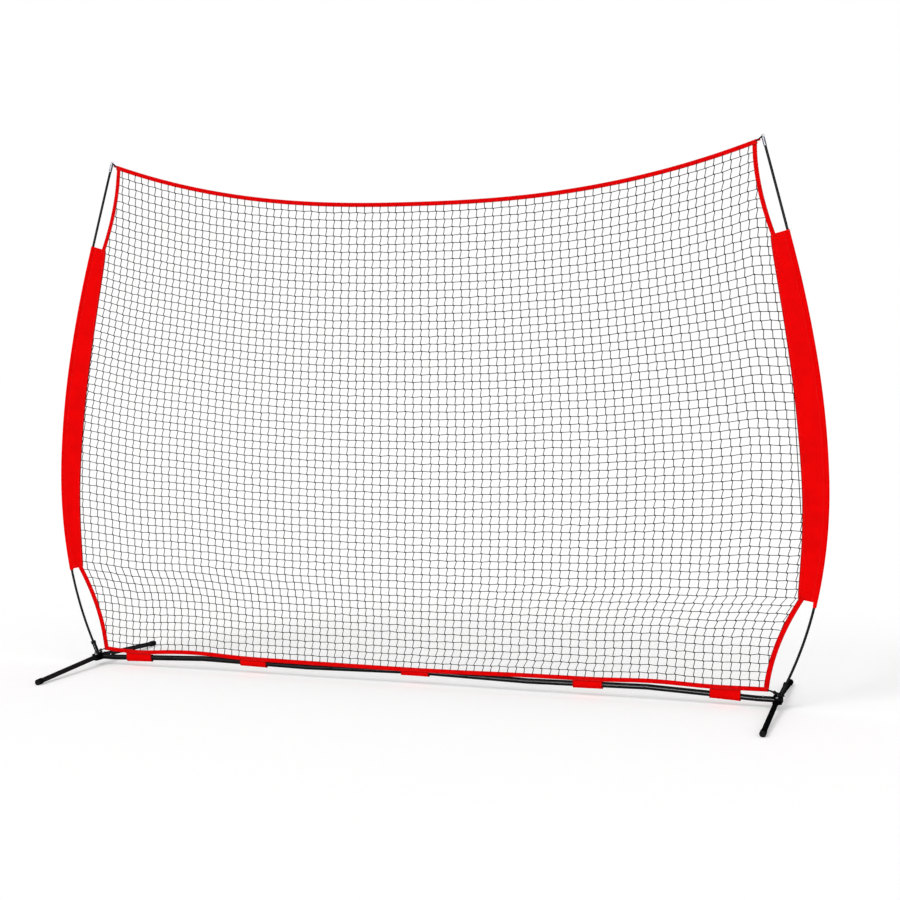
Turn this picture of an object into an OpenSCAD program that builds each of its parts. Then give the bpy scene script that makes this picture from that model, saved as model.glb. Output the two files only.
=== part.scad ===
// Free-standing pitching net: a bowed-pole frame on two folding feet.
// X runs along the base bar, Y from front to back, Z up from the floor.
// The left half mirrors the right half about the YZ plane.

/* [Feet] */
// Distance between the centre lines of the two feet
foot_span = 3668; // [3200:4:4200]
// Height of the hub centres above the floor
hub_height = 45; // [40:1:60]
// Outside diameter of the leg tubes
leg_d = 25.4; // [24:0.2:28]
// Height of the tongues that hold the legs in the hubs
tongue_h = 22; // [18:0.5:23]
// Wall of the leg tubes
leg_wall = 1.5; // [1.2:0.1:2]
// Distance from the hub centre to the end of a foot
foot_reach = 622; // [500:2:700]
// Distance from the hub centre to a leg's pivot bolt
pivot_offset = 36; // [34:0.5:44]
// Outside diameter of the rubber foot caps
cap_d = 31; // [30:0.2:36]
// Depth of the rubber foot caps
cap_depth = 40; // [30:1:55]

/* [Hubs] */
// Thickness of the hub plates
plate_t = 3; // [2.5:0.1:4]
// Thickness of the nylon pivot washers
washer_t = 1; // [0.8:0.1:1.5]
// Diameter of the pivot bolts
bolt_d = 8; // [6:0.5:9]
// Outside diameter of the pole sockets
socket_d = 22; // [20:0.5:24]
// Wall of the pole sockets
socket_wall = 2.5; // [2:0.1:3]
// Length of the pole sockets
socket_len = 70; // [50:1:90]
// Outside diameter of the collars on the pole sockets
collar_d = 26.5; // [25:0.5:30]
// Distance from the hub centre outward to the foot of a pole
pole_offset = 10.5; // [6:0.5:12]

/* [Base bar] */
// Outside diameter of the bar tubes
bar_d = 28; // [27.8:0.2:30]
// Wall of the bar tubes
bar_wall = 1.5; // [1.2:0.1:2]
// Distance from the hub centre to the open end of its receiver
receiver_reach = 98; // [85:1:130]
// Length of the bar's drawn-down spigot in the receiver
spigot_len = 66; // [60:1:75]
// Height of the bar's middle joint
bar_middle_z = 70; // [60:0.5:72]
// Height of the next two joints out
bar_second_z = 58; // [56:0.5:70]
// Height of the outermost joints
bar_third_z = 67; // [56:0.5:70]
// Length of a joint ferrule
bar_ferrule_len = 80; // [60:2:100]
// Travel of the snap buttons
button_travel = 5; // [4:0.5:6]
// Diameter of the snap buttons
button_d = 7; // [6:0.5:9]

/* [Poles] */
// Diameter of the pole rods
rod_d = 12.6; // [10:0.2:13]
// Length of each of the five pole rods
rod_len = 543; // [520:1:570]
// Outward lean of the pole sockets from upright
pole_lean = 24.3; // [15:0.1:26]
// Bend of the first rod
bend_1 = 14.3; // [8:0.1:17]
// Bend of the second rod
bend_2 = 12.6; // [8:0.1:16]
// Bend of the third rod
bend_3 = 7.2; // [4:0.1:10]
// Bend of the fourth rod
bend_4 = 5.1; // [3:0.1:8]
// Bend of the top rod
bend_5 = 0.6; // [0.3:0.1:3]
// Bore for the elastic cord in the rods
rod_bore = 4.6; // [4:0.1:5.4]
// Outside diameter of the rod ferrules
ferrule_d = 15; // [13.4:0.1:16]
// Length of a rod ferrule
ferrule_len = 70; // [50:2:100]
// Outside diameter of the aluminium pole tips
tip_d = 15.6; // [14:0.1:17]
// Length of the aluminium pole tips
tip_len = 42; // [30:1:60]
// Outside diameter of the wire eye on a pole tip
eye_d = 17; // [14:0.5:24]
// Diameter of the wire of that eye
eye_wire = 3; // [2:0.2:4]

/* [Net] */
// Width of the border webbing
border_w = 22; // [16:1:30]
// Thickness of the border webbing
border_t = 2.4; // [1.6:0.2:3]
// Dip of the top edge below its corners
top_dip = 245; // [150:5:320]
// Dip of the bottom edge below its corners
bottom_dip = 13; // [4:1:16]
// Rise of the bottom edge between the outer tabs
bottom_rise = 10; // [0:1:14]
// Distance from the floor to the net's bottom corners
corner_height = 84; // [79:1:110]
// Distance from the hub centre in to the net's bottom corners
bottom_corner_in = 43; // [36:1:90]
// Distance from the pole's tip in to the net's top corners
top_corner_in = 24; // [18:1:40]
// Length of pole that shows below a sleeve
sleeve_low = 410; // [350:5:500]
// Length of pole that shows above a sleeve
sleeve_high = 450; // [380:5:550]
// Width of a sleeve at its ends, from the pole's centre
sleeve_end_w = 80; // [60:1:90]
// Width of a sleeve at its middle, from the pole's centre
sleeve_mid_w = 123; // [95:1:135]
// Thickness of the sleeve cloth
cloth_t = 1.2; // [0.8:0.1:1.6]
// Columns of the mesh panel
mesh_cols = 20; // [12:1:20]
// Rows of the mesh panel
mesh_rows = 15; // [10:1:15]
// Width of a mesh strand
strand_w = 6; // [4:0.5:10]
// Thickness of the mesh panel
mesh_t = 2; // [1.4:0.2:2.4]

/* [Base tabs] */
// Width of a tab that wraps the bar
tab_w = 150; // [100:5:180]
// Distance from the middle of the bar to the second tabs
tab_pitch = 906; // [800:2:1000]
// Distance from the hub centres in to the outer tabs
tab_inset = 250; // [220:2:300]
// Thickness of the tab cloth
tab_t = 1.8; // [1.2:0.2:2.4]

/* [Loops] */
// Diameter of the elastic corner loops
loop_d = 6; // [4:0.2:6.4]

/* [Hidden] */
$fn = 48;

SIDES = [-1, 1];
hub_x = foot_span/2;
fit = 0.05;          // radial running clearance of pins, plugs and spigots
soft_gap = 0.3;      // clearance between cloth and its neighbours
weld = 0.5;          // depth to which welded parts run into each other

// ---- Paths in the XZ plane: a path is a list of [length, turn in degrees] ----
function rad(a) = a*PI/180;
function bend_r(seg) = seg[0]/rad(seg[1]);
// Place reached after one stretch, from [x, z, heading]
function step(p, seg) = seg[1] == 0
    ? [p[0] + seg[0]*cos(p[2]), p[1] + seg[0]*sin(p[2]), p[2]]
    : [p[0] + bend_r(seg)*(sin(p[2] + seg[1]) - sin(p[2])),
       p[1] - bend_r(seg)*(cos(p[2] + seg[1]) - cos(p[2])),
       p[2] + seg[1]];
// Place at the start of stretch n
function place(p, path, n) = n == 0 ? p : step(place(p, path, n - 1), path[n - 1]);
// Place at distance s along the path
function along(p, path, s, i = 0) = (i == len(path) - 1 || s <= path[i][0])
    ? step(p, [s, path[i][1]*s/path[i][0]])
    : along(step(p, path[i]), path, s - path[i][0], i + 1);
function total(path, i = 0) = i == len(path) ? 0 : path[i][0] + total(path, i + 1);
function reversed(pts) = [for (i = [len(pts) - 1 : -1 : 0]) pts[i]];

// Moves children so that their X axis lies along the heading of a place
module at(p) translate([p[0], 0, p[1]]) rotate([0, -p[2], 0]) children();

// Straight tube along X from the origin, or a solid rod when r_in is 0
module tube(len, r_out, r_in = 0) rotate([0, 90, 0]) difference() {
    cylinder(h = len, r = r_out);
    if (r_in > 0) translate([0, 0, -1]) cylinder(h = len + 2, r = r_in);
}
// Arc of tube that starts at the origin along X and turns up by the given angle
module bent_tube(seg, r_out, r_in)
    translate([0, 0, bend_r(seg)]) rotate([90, 0, 0]) rotate([0, 0, -90])
        rotate_extrude(angle = seg[1], $fn = 720) translate([bend_r(seg), 0]) difference() {
            circle(r_out, $fn = 48);
            circle(r_in, $fn = 48);
        }
// Draws children for the right side, or mirrored for the left
module on_side(side) mirror([side < 0 ? 1 : 0, 0, 0]) children();
module both_sides() for (s = SIDES) on_side(s) children();

// ---- Hub: two plates, a web, a bar receiver and a pole socket, welded ----
plate_gap = tongue_h + 2*(washer_t + 2*fit);
hub_top = hub_height + plate_gap/2 + plate_t;
leg_end = leg_d/2 + 1;                              // tongue's end beyond its pivot
sweep_r = sqrt(leg_end*leg_end + leg_d*leg_d/4);    // circle swept by that end
web_in = sweep_r + 1;
plate_r = web_in + plate_t;                         // half width of the plates
bar_r = bar_d/2;
bore_r = bar_r - bar_wall;
spigot_r = bore_r - fit;
spigot_in = spigot_r - bar_wall;

module plate_outline() {
    square([2*plate_r, 2*pivot_offset], center = true);
    for (y = [-1, 1]) translate([0, y*pivot_offset]) circle(plate_r, $fn = 64);
}
module hub_plate(z) translate([0, 0, z]) linear_extrude(plate_t) difference() {
    plate_outline();
    for (y = [-1, 1]) translate([0, y*pivot_offset]) circle(bolt_d/2 + fit);
}
// Base of the pole on the top plate
pole_root = [hub_x + pole_offset, hub_top, 90 - pole_lean];
module hub() color("#17181a") difference() {
    union() {
        translate([hub_x, 0, hub_height]) {
            hub_plate(plate_gap/2);
            hub_plate(-plate_gap/2 - plate_t);
            translate([web_in, -pivot_offset, -plate_gap/2 - weld])
                cube([plate_t, 2*pivot_offset, plate_gap + 2*weld]);
            translate([-receiver_reach, 0, 0]) tube(receiver_reach + web_in + weld, bar_r, bore_r);
        }
        intersection() {
            at(pole_root) translate([-socket_d, 0, 0])
                tube(socket_len + socket_d, socket_d/2, socket_d/2 - socket_wall);
            translate([hub_x - socket_len, -socket_d, hub_top - weld])
                cube([3*socket_len, 2*socket_d, 3*socket_len]);
        }
    }
    button_hole();
}

// ---- Pivot hardware ----
module at_pivots() both_sides() for (y = [-1, 1])
    translate([hub_x, y*pivot_offset, hub_height]) children();
head_h = 4;
nut_h = 6;
module pivot_bolts() color("#8c8f93") at_pivots() {
    translate([0, 0, -plate_gap/2 - plate_t - nut_h - 1])
        cylinder(h = plate_gap + 2*plate_t + nut_h + 1, d = bolt_d);
    translate([0, 0, plate_gap/2 + plate_t]) rotate_extrude() intersection() {
        translate([0, head_h - bolt_d]) circle(bolt_d);
        square([bolt_d, head_h]);
    }
}
module pivot_nuts() color("#9a9da1") at_pivots() translate([0, 0, -plate_gap/2 - plate_t - nut_h])
    difference() {
        cylinder(h = nut_h, d = 1.8*bolt_d, $fn = 6);
        translate([0, 0, -1]) cylinder(h = nut_h + 2, d = bolt_d + 2*fit);
    }
module pivot_washers() color("#e4e2dc") at_pivots() for (z = [-1, 1])
    translate([0, 0, z*(plate_gap - washer_t)/2 - washer_t/2]) difference() {
        cylinder(h = washer_t, d = 2.3*bolt_d);
        translate([0, 0, -1]) cylinder(h = washer_t + 2, d = bolt_d + 2*fit);
    }

// ---- Legs: a level tongue in the hub, then a tube that slopes down to the floor ----
cap_flat = 1;                                       // depth of the flat under a cap
cap_wall = 4;
leg_root = plate_r + 2;                             // tube's start beyond the pivot
leg_len = foot_reach - pivot_offset - leg_root - cap_wall;
leg_slope = asin((hub_height - cap_d/2 + cap_flat)/leg_len);
leg_start = [leg_root, 0, -leg_slope];
// The leg in its own frame: pivot at the origin, tube along X
module leg_shape() difference() {
    union() {
        at(leg_start) tube(leg_len, leg_d/2);
        translate([-leg_end, -leg_d/2, -tongue_h/2]) cube([leg_end + leg_root + 2, leg_d, tongue_h]);
    }
    at(leg_start) translate([5, 0, 0]) tube(leg_len, leg_d/2 - leg_wall);
    cylinder(h = leg_d, d = bolt_d + 2*fit, center = true);
}
cap_round = 5;
module cap_shape() at(along(leg_start, [[1, 0]], leg_len)) translate([cap_wall, 0, 0]) rotate([0, -90, 0])
    rotate_extrude() difference() {
        union() {
            translate([0, cap_round]) square([cap_d/2, cap_depth - cap_round]);
            square([cap_d/2 - cap_round, cap_depth]);
            translate([cap_d/2 - cap_round, cap_round]) circle(cap_round);
        }
        translate([0, cap_wall]) square([leg_d/2 + fit, cap_depth]);
    }
// Turns a leg to the front or the back of its hub
module at_leg(side, front) on_side(side) translate([hub_x, front ? -pivot_offset : pivot_offset, hub_height])
    rotate([0, 0, front ? -90 : 90]) children();
module leg(side, front) color("#17181a") at_leg(side, front) leg_shape();
module cap(side, front) color("#0d0d0e") intersection() {
    at_leg(side, front) cap_shape();
    translate([-foot_span, -foot_span, 0]) cube([2*foot_span, 2*foot_span, 2*hub_height]);
}

// ---- Base bar: six straight sections that kink at their loose joints ----
bar_end = [hub_x - receiver_reach, hub_height];
bar_pitch = (bar_end[0] + spigot_len)/3;            // six sections cut to one length
bar_joints = [[0, bar_middle_z], [bar_pitch, bar_second_z], [2*bar_pitch, bar_third_z], bar_end];
// Heading of section n, from joint n outward
function bar_heading(n) = let (d = bar_joints[n + 1] - bar_joints[n]) atan2(d[1], d[0]);
// Angle by which the bar kinks at joint n
function kink(n) = abs(bar_heading(n) - (n == 0 ? -bar_heading(0) : bar_heading(n - 1)));
bar_seam = 0.6;                                     // set back of a section's ends
module section(n) color("#141517") let (d = bar_joints[n + 1] - bar_joints[n])
    translate([bar_joints[n][0], 0, bar_joints[n][1]]) rotate([0, -bar_heading(n), 0])
        translate([bar_seam, 0, 0]) tube(norm(d) - 2*bar_seam, bar_r, bore_r);
spigot_root = 10;                                   // depth of the spigot's root in its tube
module outer_section() difference() {
    union() {
        section(2);
        // spigot drawn down to slide into the hub's receiver
        color("#141517") translate([bar_end[0], 0, bar_end[1]]) rotate([0, 90, 0]) rotate_extrude() polygon([
            [spigot_in, -spigot_root], [bore_r + weld, -spigot_root], [bore_r + weld, -spigot_root/2],
            [spigot_r, -spigot_root/2], [spigot_r, spigot_len], [spigot_in, spigot_len]]);
    }
    button_hole();
}
module bar_ferrule(n) let (r = bore_r - fit - bar_ferrule_len/2*tan(kink(n)/2))
    translate([bar_joints[n][0], 0, bar_joints[n][1]])
        rotate([0, n == 0 ? 0 : -(bar_heading(n) + bar_heading(n - 1))/2, 0])
            translate([-bar_ferrule_len/2, 0, 0]) tube(bar_ferrule_len, r, r - bar_wall);
module bar_ferrules() color("#2a2c2f") {
    bar_ferrule(0);
    both_sides() for (n = [1, 2]) bar_ferrule(n);
}
// Place on the bar at distance x from its middle
function bar_place(x) = let (n = x < bar_pitch ? 0 : x < 2*bar_pitch ? 1 : 2)
    [x, bar_joints[n][1] + (x - bar_joints[n][0])*tan(bar_heading(n)), bar_heading(n)];

// ---- Elastic cord along the bar, and the plugs that hold its ends ----
cord_r = 2.5;
plug_t = 8;
plug_x = bar_end[0] - 2;
knot_r = 5;
module base_cord_plugs() color("#101011") both_sides() translate([plug_x, 0, hub_height])
    tube(plug_t, spigot_in - fit, cord_r + fit);

// ---- Snap buttons and their V springs, in the spigots ----
button_x = hub_x - receiver_reach + 28;
button_slack = 0.3;                                 // radial clearance of a button in its holes
flange_r = button_d/2 + 1.5;
flange_t = 2;
flange_top = sqrt(spigot_in*spigot_in - flange_r*flange_r) - 0.15;
button_top = spigot_r + button_travel;
dome = 1;
spring_t = 0.8;
spring_w = 8;
spring_arm = 12;
spring_high = flange_top - flange_t - 0.1;
spring_low = 0.3 - sqrt(spigot_in*spigot_in - spring_w*spring_w/4);
module button_hole()
    translate([button_x, 0, hub_height + spigot_in/2]) cylinder(h = bar_r, r = button_d/2 + button_slack);
module bar_button() color("#8f9296") translate([button_x, 0, hub_height]) rotate_extrude() polygon(concat(
    [[0, flange_top - flange_t], [flange_r, flange_top - flange_t], [flange_r, flange_top],
     [button_d/2, flange_top]],
    [for (a = [0 : 15 : 90]) [button_d/2*cos(a), button_top - dome + dome*sin(a)]]));
// The spring's outline at distance inset from its outer face
function spring_line(inset) = let (
        mid = (spring_high + spring_low)/2,
        r = (spring_high - spring_low)/2 - inset)
    concat([[-spring_w/2, mid + r]], [for (a = [90 : -15 : -90]) [spring_arm + r*cos(a), mid + r*sin(a)]],
        [[-spring_w/2, mid - r]]);
module button_spring() color("#a7a9ad") translate([button_x, spring_w/2, hub_height]) rotate([90, 0, 0])
    linear_extrude(spring_w) polygon(concat(spring_line(0), reversed(spring_line(spring_t))));

// ---- Poles: five bowed rods with ferrules, an elastic cord inside, a foot and a tip ----
foot_floor = 3;
foot_len = 34;
foot_r = socket_d/2 - socket_wall - fit;
pole_lift = foot_r*tan(pole_lean) + 0.3;            // keeps the leaning foot off the plate
pole_start = along(pole_root, [[1, 0]], pole_lift + foot_floor);
stub_len = socket_len;
pole_path = [[stub_len, 0], [rod_len - stub_len, bend_1], [rod_len, bend_2], [rod_len, bend_3],
             [rod_len, bend_4], [rod_len, bend_5]];
pole_len = total(pole_path);
pole_end = place(pole_start, pole_path, 6);
rod_r = rod_d/2;
// Rod n; the first one has a straight end for the socket
module pole_rod(n) color("#121315") at(place(pole_start, pole_path, n)) {
    bent_tube(pole_path[n], rod_r, rod_bore/2);
    if (n == 1) translate([-stub_len, 0, 0]) tube(stub_len, rod_r, rod_bore/2);
}
ferrule_gap = 0.35;
module pole_ferrules() color("#6f7276") for (n = [2 : 5])
    at(place(pole_start, pole_path, n)) translate([-ferrule_len/2, 0, 0])
        tube(ferrule_len, ferrule_d/2, rod_r + ferrule_gap);
module pole_foot() color("#0f0f10") at(pole_start) difference() {
    translate([-foot_floor, 0, 0]) rotate([0, 90, 0]) cylinder(h = foot_len, r = foot_r);
    rotate([0, 90, 0]) cylinder(h = foot_len, r = rod_r + fit);
}
collar_len = 15;
collar_lip = 3;
collar_s = socket_len - pole_lift - foot_floor;     // socket's rim, along the pole
module socket_collar() color("#0f0f10") at(along(pole_start, pole_path, collar_s)) rotate([0, 90, 0])
    difference() {
        translate([0, 0, collar_lip - collar_len]) cylinder(h = collar_len, d = collar_d);
        translate([0, 0, -collar_len]) cylinder(h = collar_len, r = socket_d/2 + fit);
        cylinder(h = 2*collar_lip, r = rod_r + 0.25);
    }
pole_cord_r = 1.5;
pole_cord_steps = 30;
module pole_cord() color("#1c1c1d") sweep(
    [for (i = [0 : pole_cord_steps])
        let (p = along(pole_start, pole_path, pole_len*i/pole_cord_steps)) [p[0], 0, p[1]]],
    [for (i = [0 : pole_cord_steps]) pole_cord_r], 6);
tip_end = 4;
eye_r = (eye_d - eye_wire)/2;
module pole_tip() color("#b9bcc0") at(pole_end) {
    rotate([0, 90, 0]) difference() {
        translate([0, 0, tip_end - tip_len]) cylinder(h = tip_len, d = tip_d);
        translate([0, 0, -tip_len]) cylinder(h = tip_len, r = rod_r + ferrule_gap);
    }
    // wire eye in the plane of the net
    translate([tip_end + eye_r - weld, 0, 0]) rotate([90, 0, 0])
        rotate_extrude($fn = 48) translate([eye_r, 0]) circle(d = eye_wire, $fn = 24);
}

// ---- The net's plane leans from the poles' tips to just in front of the bar ----
tab_gap = 0.6;
tab_sag = tab_w/4*tan(kink(0)/2);                   // half the bar's fall under the tab on its kink
net_front = bar_r + tab_gap + tab_sag + tab_t + 2*soft_gap + border_t/2; // before the bar's axis
tip_eye = along(pole_end, [[1, 0]], tip_end + 2*eye_r);
net_lean = atan(net_front/(tip_eye[1] - corner_height));
function net_y(z) = -net_front*(tip_eye[1] - z)/(tip_eye[1] - corner_height);
// Draws a flat outline, given in X and Z, as a sheet in that plane
module net_sheet(t) translate([0, net_y(0), 0]) rotate([90 - net_lean, 0, 0])
    linear_extrude(t, center = true) children();

corner_x = hub_x - bottom_corner_in;
top_x = tip_eye[0] - top_corner_in;
top_z = tip_eye[1] - 20;
edge_power = 2.4;                                   // how the top edge steepens to its corners
function top_edge(x) = top_z - top_dip*(1 - pow(min(abs(x)/top_x, 1), edge_power));
outer_tab = hub_x - tab_inset;
// The bottom edge is held down at the tabs, and rises less between the inner ones
function bottom_edge(x) = corner_height - bottom_dip*(1 - pow(min(abs(x)/corner_x, 1), 2))
    + (abs(x) < tab_pitch ? 0.35*bottom_rise*pow(sin(180*abs(x)/tab_pitch), 2)
        : abs(x) < outer_tab ? bottom_rise*pow(sin(180*(abs(x) - tab_pitch)/(outer_tab - tab_pitch)), 2) : 0);

// Sleeve: distances along the pole, and the width at each
sleeve_from = stub_len + sleeve_low;
sleeve_to = pole_len - sleeve_high;
function sleeve_w(t) = sleeve_end_w + (sleeve_mid_w - sleeve_end_w)*pow(sin(180*min(max(t, 0), 1)), 0.6);
function inward(p, w) = [p[0] - w*sin(p[2]), p[1] + w*cos(p[2])];
function sleeve_place(t) = along(pole_start, pole_path, sleeve_from + t*(sleeve_to - sleeve_from));
function sleeve_edge(t) = inward(sleeve_place(t), sleeve_w(t));
function bezier(a, b, c, t) = (1 - t)*(1 - t)*a + 2*t*(1 - t)*b + t*t*c;

edge_steps = 10;
low_bow = 220;                                      // where the side webbing bows, below a sleeve
high_bow = 190;                                     // and below the net's top corner
// Net side of the webbing from a sleeve's ends to the net's corners
sleeve_bottom = sleeve_edge(0);
sleeve_top = sleeve_edge(1);
low_corner = [corner_x - border_w, bottom_edge(corner_x - border_w) + border_w];
high_corner = [top_x - border_w, top_edge(top_x - border_w) - border_w];
low_mid = [corner_x + 2, sleeve_bottom[1] - low_bow];
high_mid = [top_x - 18, high_corner[1] - high_bow];
low_side = [for (i = [0 : edge_steps]) bezier(low_corner, low_mid, sleeve_bottom, i/edge_steps)];
high_side = [for (i = [0 : edge_steps]) bezier(sleeve_top, high_mid, high_corner, i/edge_steps)];
mid_side = [for (i = [1 : 23]) sleeve_edge(i/24)];
side_edge = concat(low_side, mid_side, high_side);
// Half width of the net at height z
function side_x(z, i = 0) = (i >= len(side_edge) - 2 || z <= side_edge[i + 1][1])
    ? side_edge[i][0] + (side_edge[i + 1][0] - side_edge[i][0])*(z - side_edge[i][1])
        /(side_edge[i + 1][1] - side_edge[i][1])
    : side_x(z, i + 1);

// ---- Webbing along the edges ----
function shift(p, q, w) = let (d = q - p, n = [d[1], -d[0]]/norm(d)) p + w*n;
// Offsets a list of points to the right of its direction by w
function beside(pts, w) = [for (i = [0 : len(pts) - 1])
    i < len(pts) - 1 ? shift(pts[i], pts[i + 1], w)
                     : pts[i] + (shift(pts[i - 1], pts[i], w) - pts[i - 1])];
border_steps = 20;
module top_border() color("#d40a0a") net_sheet(border_t) polygon(concat(
    [for (i = [-border_steps : border_steps]) let (x = top_x*i/border_steps) [x, top_edge(x)]],
    [for (i = [border_steps : -1 : -border_steps]) let (x = top_x*i/border_steps)
        [x, top_edge(x) - border_w]]));
module bottom_border() color("#d40a0a") net_sheet(border_t) polygon(concat(
    [for (i = [-30 : 30]) let (x = corner_x*i/30) [x, bottom_edge(x)]],
    [for (i = [30 : -1 : -30]) let (x = corner_x*i/30) [x, bottom_edge(x) + border_w]]));
// Side webbing, cut off square with the bottom and top webbing
module side_border(pts) color("#d40a0a") net_sheet(border_t) difference() {
    polygon(concat(beside(pts, soft_gap), reversed(beside(pts, border_w))));
    for (x = [low_corner[0], corner_x]) translate([x - border_w, bottom_edge(x)])
        square([2*border_w, border_w + soft_gap]);
    polygon(concat(
        [for (i = [-2 : 2]) let (x = high_corner[0] + i*border_w) [x, top_edge(x) - border_w - soft_gap]],
        [for (i = [2 : -1 : -2]) let (x = high_corner[0] + i*border_w) [x, top_edge(x)]]));
}
// These lines run on a little past the net's corners, into that webbing
low_border = concat([1.3*low_corner - 0.3*low_side[1]], [for (i = [1 : edge_steps - 1]) low_side[i]],
    [sleeve_bottom + [0, -soft_gap]]);
high_border = concat([sleeve_top + [0, soft_gap]], [for (i = [1 : edge_steps - 1]) high_side[i]],
    [1.3*high_corner - 0.3*high_side[edge_steps - 1]]);

// ---- Sleeve: cloth folded round the pole, its two layers apart at the net ----
channel_r = ferrule_d/2 + 1.2;
sleeve_r = channel_r + cloth_t;
sleeve_steps = 24;
function arc(r, a0, a1, n) = [for (i = [0 : n]) let (a = a0 + (a1 - a0)*i/n) [-r*cos(a), r*sin(a)]];
// Section of the sleeve as [distance inward, Y]: outer face, then the inner face back
function sleeve_section(w, y) = let (half = 0.6 + cloth_t) concat(
    [[w, y + half], [sleeve_r*1.6, 0.25*y + half + 0.6]],
    arc(sleeve_r, 125, -125, 10),
    [[sleeve_r*1.6, 0.25*y - half - 0.6], [w, y - half]],
    [[w, y - 0.6], [sleeve_r*1.6, 0.25*y - 1.2]],
    arc(channel_r, -125, 125, 10),
    [[sleeve_r*1.6, 0.25*y + 1.2], [w, y + 0.6]]);
function sleeve_ring(t) = let (p = sleeve_place(t), w = sleeve_w(t))
    [for (q = sleeve_section(w, net_y(inward(p, w)[1]))) let (c = inward(p, q[0])) [c[0], q[1], c[1]]];
module sleeve() color("#e60000") {
    rings = [for (i = [0 : sleeve_steps]) sleeve_ring(i/sleeve_steps)];
    n = len(rings[0]);
    top = sleeve_steps*n;
    sides = [for (k = [0 : sleeve_steps - 1]) for (j = [0 : n - 1])
        let (a = k*n + j, b = k*n + (j + 1)%n) each [[a, b, b + n], [a, b + n, a + n]]];
    ends = [for (j = [0 : n/2 - 2]) let (a = j, b = j + 1, c = n - 2 - j, d = n - 1 - j)
        each [[a, c, b], [a, d, c], [top + a, top + b, top + c], [top + a, top + c, top + d]]];
    polyhedron([for (r = rings) each r], concat(sides, ends));
}

// ---- Mesh panel: square cells that follow the edges ----
mesh_low = low_corner[1] + soft_gap;
mesh_high = high_corner[1] - soft_gap;
function mesh_foot(x) = bottom_edge(min(abs(x), low_corner[0])) + border_w + soft_gap;
function mesh_head(x) = top_edge(min(abs(x), high_corner[0])) - border_w - soft_gap;
// Crossing at u from -1 to 1 across the net and v from 0 to 1 up it
function mesh_point(u, v) = let (
        zs = mesh_low + v*(mesh_high - mesh_low),
        x = u*(side_x(zs) - soft_gap))
    [x, zs - (1 - v)*(mesh_low - mesh_foot(x)) - v*(mesh_high - mesh_head(x))];
// Corners of cell (i, j), drawn in by half a strand
function cell(i, j) = let (
        a = mesh_point(-1 + 2*i/mesh_cols, j/mesh_rows),
        b = mesh_point(-1 + 2*(i + 1)/mesh_cols, j/mesh_rows),
        c = mesh_point(-1 + 2*(i + 1)/mesh_cols, (j + 1)/mesh_rows),
        d = mesh_point(-1 + 2*i/mesh_cols, (j + 1)/mesh_rows),
        h = strand_w/2,
        left = i == 0 ? strand_w : h,
        right = i == mesh_cols - 1 ? strand_w : h)
    [a + [left, h], b + [-right, h], c + [-right, -h], d + [left, -h]];
mesh_side = [for (j = [1 : 4*mesh_rows - 1]) mesh_point(1, j/4/mesh_rows)];
module net_mesh() color("#1a1a1a") net_sheet(mesh_t) difference() {
    polygon(concat(
        [for (i = [0 : 4*mesh_cols]) mesh_point(-1 + 2*i/mesh_cols/4, 0)], mesh_side,
        [for (i = [3*mesh_cols : -1 : 0]) mesh_point(-1 + 2*i/mesh_cols/3, 1)],
        [for (q = reversed(mesh_side)) [-q[0], q[1]]]));
    for (i = [0 : mesh_cols - 1], j = [0 : mesh_rows - 1]) polygon(cell(i, j));
}

// ---- Tabs from the bottom webbing round the bar ----
tab_wrap = 300;                                     // degrees of the bar that a tab wraps
function around(r, a0, a1, n) = [for (i = [0 : n]) let (a = a0 + (a1 - a0)*i/n) [r*cos(a), r*sin(a)]];
// A strip that hangs behind the webbing, passes under the bar and comes back over it
module tab(x) {
    sag = x == 0 ? tab_sag : 0;
    p = bar_place(x);
    r_in = bar_r + tab_gap + sag;
    r_out = r_in + tab_t;
    head = bottom_edge(x) + border_w - 3 - p[1];
    translate([p[0], 0, p[1] - sag]) rotate([0, x == 0 ? 0 : -p[2], 0]) translate([-tab_w/2, 0, 0])
        rotate([90, 0, 90]) linear_extrude(tab_w) polygon(concat(
            [[-r_out, head]], around(r_out, 180, 180 + tab_wrap, 24),
            around(r_in, 180 + tab_wrap, 180, 24), [[-r_in, head]]));
}
module base_tabs() color("#e60000") {
    tab(0);
    both_sides() {
        tab(tab_pitch);
        tab(outer_tab);
    }
}

// ---- Cords: round sections swept through points [x, y, z] of given radii ----
function spot(pts, i) = pts[max(min(i, len(pts) - 1), 0)];
function frame_at(pts, i) = let (
        d = spot(pts, i + 1) - spot(pts, i - 1),
        u = cross(d, [0.03, 1, 0.05]),
        v = cross(d, u))
    [u/norm(u), v/norm(v)];
module sweep(pts, radii, n) {
    m = len(pts);
    skin = [for (i = [0 : m - 1]) let (f = frame_at(pts, i)) for (k = [0 : n - 1])
        pts[i] + radii[i]*(cos(360*k/n)*f[0] + sin(360*k/n)*f[1])];
    sides = [for (i = [0 : m - 2]) for (k = [0 : n - 1])
        let (a = i*n + k, b = i*n + (k + 1)%n) each [[a, b + n, b], [a, a + n, b + n]]];
    polyhedron(skin, concat(sides, [[for (k = [0 : n - 1]) k]],
        [[for (k = [n - 1 : -1 : 0]) (m - 1)*n + k]]));
}
// Elastic cord from plug to plug, with a knot beyond each: half of it as [x, z, radius]
knot_x = plug_x + plug_t + knot_r;
half_cord = concat(
    [for (n = [0 : 2]) [bar_joints[n][0], bar_joints[n][1], cord_r]], [[plug_x - 20, hub_height, cord_r]],
    [for (q = [[-knot_r, cord_r], [-3, knot_r], [3, knot_r], [knot_r, cord_r]])
        [knot_x + q[0], hub_height, q[1]]]);
cord_line = concat([for (q = reversed(half_cord)) if (q[0] > 0) [-q[0], q[1], q[2]]], half_cord);
module base_cord() color("#1c1c1d")
    sweep([for (q = cord_line) [q[0], 0, q[1]]], [for (q = cord_line) q[2]], 8);

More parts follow.
